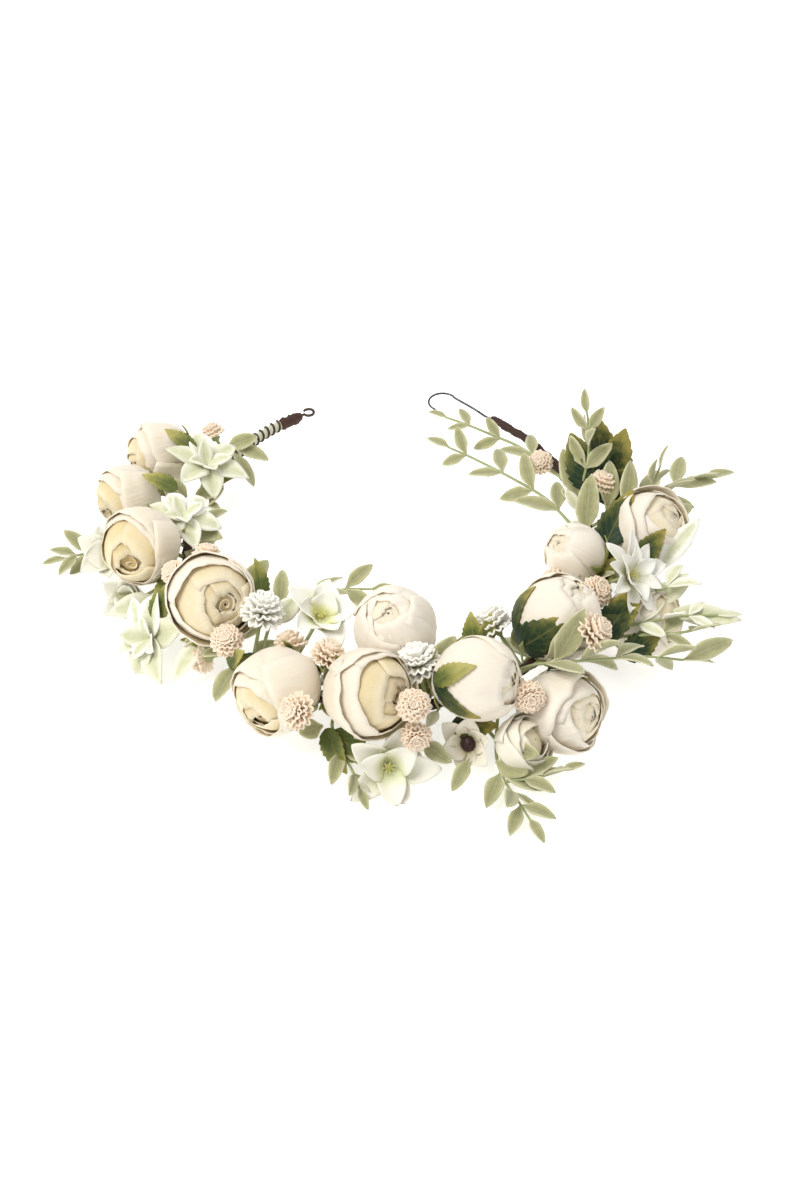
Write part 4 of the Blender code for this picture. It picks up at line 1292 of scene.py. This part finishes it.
def plastic_paint(name, light, groove_shade, roughness):
    """Soft moulded plastic, darkened towards its petal bases down between the petals with painted shade."""
    paint = Paint(name, roughness, Subsurface_Weight=0.15, Subsurface_Scale=0.0015, Specular_IOR_Level=0.35)
    # Painted shade: the ramp runs from the petal colour at the tips to a darker shade colour at the bases.
    colour = paint.ramp(paint.tone[0], [(0.0, light), (0.35, light), (0.75, groove_shade), (1.0, groove_shade)])
    colour = paint.wash(colour, paint.noise(1.8, 2.0), 0.18, groove_shade)
    colour = paint.wash(colour, paint.tone[2], 0.12, groove_shade)
    normal = paint.bump(paint.streaks(9.0, 2.0), 0.15, 0.5)
    normal = paint.bump(paint.noise(0.3, 2.0), 0.04, 0.5, normal)
    return paint.finish(colour, normal)


def blossom_paint(name, throat, petal, rim):
    paint = Paint(name, 0.6, Sheen_Weight=0.1, Sheen_Roughness=0.5, Specular_IOR_Level=0.3)
    colour = paint.ramp(paint.tone[0], [(0.0, petal), (0.45, petal), (0.75, throat), (1.0, throat)])
    streak = paint.streaks(20.0, 2.0)
    colour = paint.wash(colour, streak, 0.18, rim, "MULTIPLY")
    colour = paint.wash(colour, paint.noise(6.0, 2.0), 0.2, rim)
    normal = paint.bump(streak, 0.3, 0.5)
    normal = paint.bump(paint.weave(0.36), 0.05, 0.5, normal)
    return paint.finish(colour, normal)


def tape_paint(name, dark, light):
    """Waxed crepe paper, with fine creases round the wire."""
    roughness = 0.72
    paint = Paint(name, roughness, Specular_IOR_Level=0.4)
    crease = paint.streaks(6.0, 260.0, 3.0)
    blotch = paint.noise(3.0, 4.0)
    colour = paint.wash(paint.mix(blotch, dark, light), crease, 0.35, dark)
    normal = paint.bump(crease, 0.3, 0.7)
    normal = paint.bump(paint.noise(0.5, 4.0), 0.15, 0.6, normal)
    return paint.finish(colour, normal, paint.plus(paint.times(blotch, 0.3), roughness - 0.15))


def wire_paint(name, dark, light, metallic, roughness):
    paint = Paint(name, roughness, Metallic=metallic)
    wear = paint.noise(1.5, 5.0)
    colour = paint.mix(paint.ramp(wear, [(0.45, (0, 0, 0)), (0.7, (1, 1, 1))]), dark, light)
    normal = paint.bump(paint.noise(0.3, 3.0), 0.03, 0.5)
    return paint.finish(colour, normal, paint.plus(paint.times(wear, 0.3), roughness - 0.15))


leaf_look = leaf_paint("rose_leaf_green", (0.10, 0.14, 0.04), (0.20, 0.24, 0.07), (0.36, 0.34, 0.10), 0.55)
stem_look = leaf_paint("stem_green", (0.20, 0.25, 0.09), (0.30, 0.34, 0.15), (0.46, 0.48, 0.26), 0.6,
                       veins=0.0)
mint_look = leaf_paint("mint_flock", (0.55, 0.57, 0.33), (0.88, 0.865, 0.75), (0.96, 0.945, 0.89), 0.9,
                       other=(0.52, 0.53, 0.27), Sheen_Weight=0.3, Sheen_Roughness=0.6)
sage_look = leaf_paint("sage_flock", (0.20, 0.205, 0.075), (0.345, 0.34, 0.155), (0.66, 0.64, 0.41), 0.9,
                       Sheen_Weight=0.35, Sheen_Roughness=0.6)
LEAF_LOOKS = {
    "dark": dark_leaf_paint("dark_leaf_fabric", (0.015, 0.038, 0.017), (0.085, 0.098, 0.024),
                            (0.33, 0.28, 0.065)),
    "olive": dark_leaf_paint("olive_leaf_fabric", (0.09, 0.12, 0.03), (0.24, 0.24, 0.06), (0.42, 0.38, 0.12)),
    "sage": sage_look,
    "mint": mint_look,
}
# The second colour of each mum look is painted shade at the petal bases, down between the petals.
blush_look = plastic_paint("blush_petals", (0.95, 0.81, 0.65), (0.86, 0.63, 0.44), 0.5)
white_look = plastic_paint("white_petals", (0.96, 0.94, 0.87), (0.90, 0.88, 0.77), 0.5)
blossom_looks = {
    "folded": blossom_paint("blossom_green_white", (0.46, 0.46, 0.26), (0.87, 0.85, 0.76),
                            (0.80, 0.79, 0.63)),
    "lily": blossom_paint("blossom_lily", (0.66, 0.68, 0.42), (0.87, 0.845, 0.75), (0.80, 0.80, 0.62)),
    "burgundy": blossom_paint("blossom_cream", (0.66, 0.59, 0.40), (0.87, 0.83, 0.72), (0.80, 0.75, 0.58)),
    "daisy": blossom_paint("blossom_daisy", (0.74, 0.74, 0.54), (0.91, 0.895, 0.83), (0.84, 0.83, 0.72)),
    "throat": blossom_paint("blossom_throat", (0.68, 0.69, 0.32), (0.92, 0.905, 0.83), (0.84, 0.84, 0.70)),
}
dark_eye_look = plastic_paint("eye_dark", (0.05, 0.018, 0.018), (0.025, 0.008, 0.008), 0.4)
pale_eye_look = plastic_paint("eye_pale", (0.72, 0.66, 0.22), (0.46, 0.44, 0.12), 0.5)
tape_look = tape_paint("tape_brown", (0.022, 0.010, 0.006), (0.070, 0.034, 0.020))
tip_look = tape_paint("tape_tip", (0.035, 0.015, 0.010), (0.10, 0.045, 0.030))
pale_core_look = tape_paint("tape_pale", (0.52, 0.54, 0.38), (0.74, 0.74, 0.58))
wire_look = wire_paint("wire_brown", (0.035, 0.018, 0.012), (0.11, 0.06, 0.04), 0.4, 0.45)
hook_look = wire_paint("wire_grey", (0.05, 0.05, 0.055), (0.16, 0.16, 0.17), 0.8, 0.35)


# ---------------------------------------------------------------- floor, light, camera

VIEW_TARGET = Vector((2.3, -18.2, -4.0)) * MM
VIEW_ELEVATION = 44.0
VIEW_DISTANCE = 0.8
VIEW_LENS = 56.4
FLOOR_HALF = 4.0
FLOOR_GLOW = 0.5
WORLD_STRENGTH = 0.52
LIGHTS = [
    # place, size in metres, power in watts, colour
    ((-0.7, -0.3, 1.2), 0.7, 14.5, (1.0, 0.985, 0.96)),
    ((0.9, -0.3, 1.0), 1.0, 3.0, (1.0, 1.0, 1.0)),
    ((0.0, 1.0, 0.9), 1.0, 4.0, (1.0, 1.0, 1.0)),
]


def make_stage():
    paint = Paint("floor_white", 0.8)
    haze = paint.noise(60.0, 2.0)
    colour = paint.mix(haze, (0.93, 0.93, 0.93), (0.95, 0.95, 0.95))
    paint.shader.inputs["Emission Color"].default_value = (1, 1, 1, 1)
    paint.shader.inputs["Emission Strength"].default_value = FLOOR_GLOW
    look = paint.finish(colour, paint.bump(paint.noise(2.0, 2.0), 0.02, 0.3))
    data = bpy.data.meshes.new("floor")
    corners = [(x * FLOOR_HALF, y * FLOOR_HALF, 0) for x, y in ((-1, -1), (1, -1), (1, 1), (-1, 1))]
    data.from_pydata(corners, [], [(0, 1, 2, 3)])
    data.materials.append(look)
    floor = place_object("floor", data)


def make_light():
    world = bpy.data.worlds.new("studio")
    world.use_nodes = True
    background = world.node_tree.nodes["Background"]
    background.inputs["Color"].default_value = (1, 1, 1, 1)
    background.inputs["Strength"].default_value = WORLD_STRENGTH
    bpy.context.scene.world = world
    for index, (place, size, power, colour) in enumerate(LIGHTS):
        data = bpy.data.lights.new("softbox_%d" % index, "AREA")
        data.size = size
        data.energy = power
        data.color = colour
        light = place_object("softbox_%d" % index, data)
        light.location = place
        light.rotation_euler = (-Vector(place)).to_track_quat("-Z", "Y").to_euler()


def make_camera():
    data = bpy.data.cameras.new("camera")
    data.lens = VIEW_LENS
    data.sensor_width = 36.0
    data.clip_start = 0.01
    elevation = math.radians(VIEW_ELEVATION)
    toward = Vector((0, -math.cos(elevation), math.sin(elevation)))
    camera = place_object("camera", data)
    camera.location = VIEW_TARGET + toward * VIEW_DISTANCE
    camera.rotation_euler = (-toward).to_track_quat("-Z", "Y").to_euler()
    bpy.context.scene.camera = camera
    bpy.context.scene.view_settings.view_transform = "Standard"


make_camera()
make_stage()
make_light()
make_band()
make_binding()
make_hook()
for rose in ROSES:
    make_rose(rose)
for spray in SPRAYS:
    make_spray(spray)
for sprig in SPRIGS:
    make_sprig(sprig)
make_trims()
make_fillers()
for wire in ("band_wire_front", "band_wire_left", "band_wire_right"):
    for material_slot in frame["nodes"][wire].material_slots:
        material_slot.material = wire_look
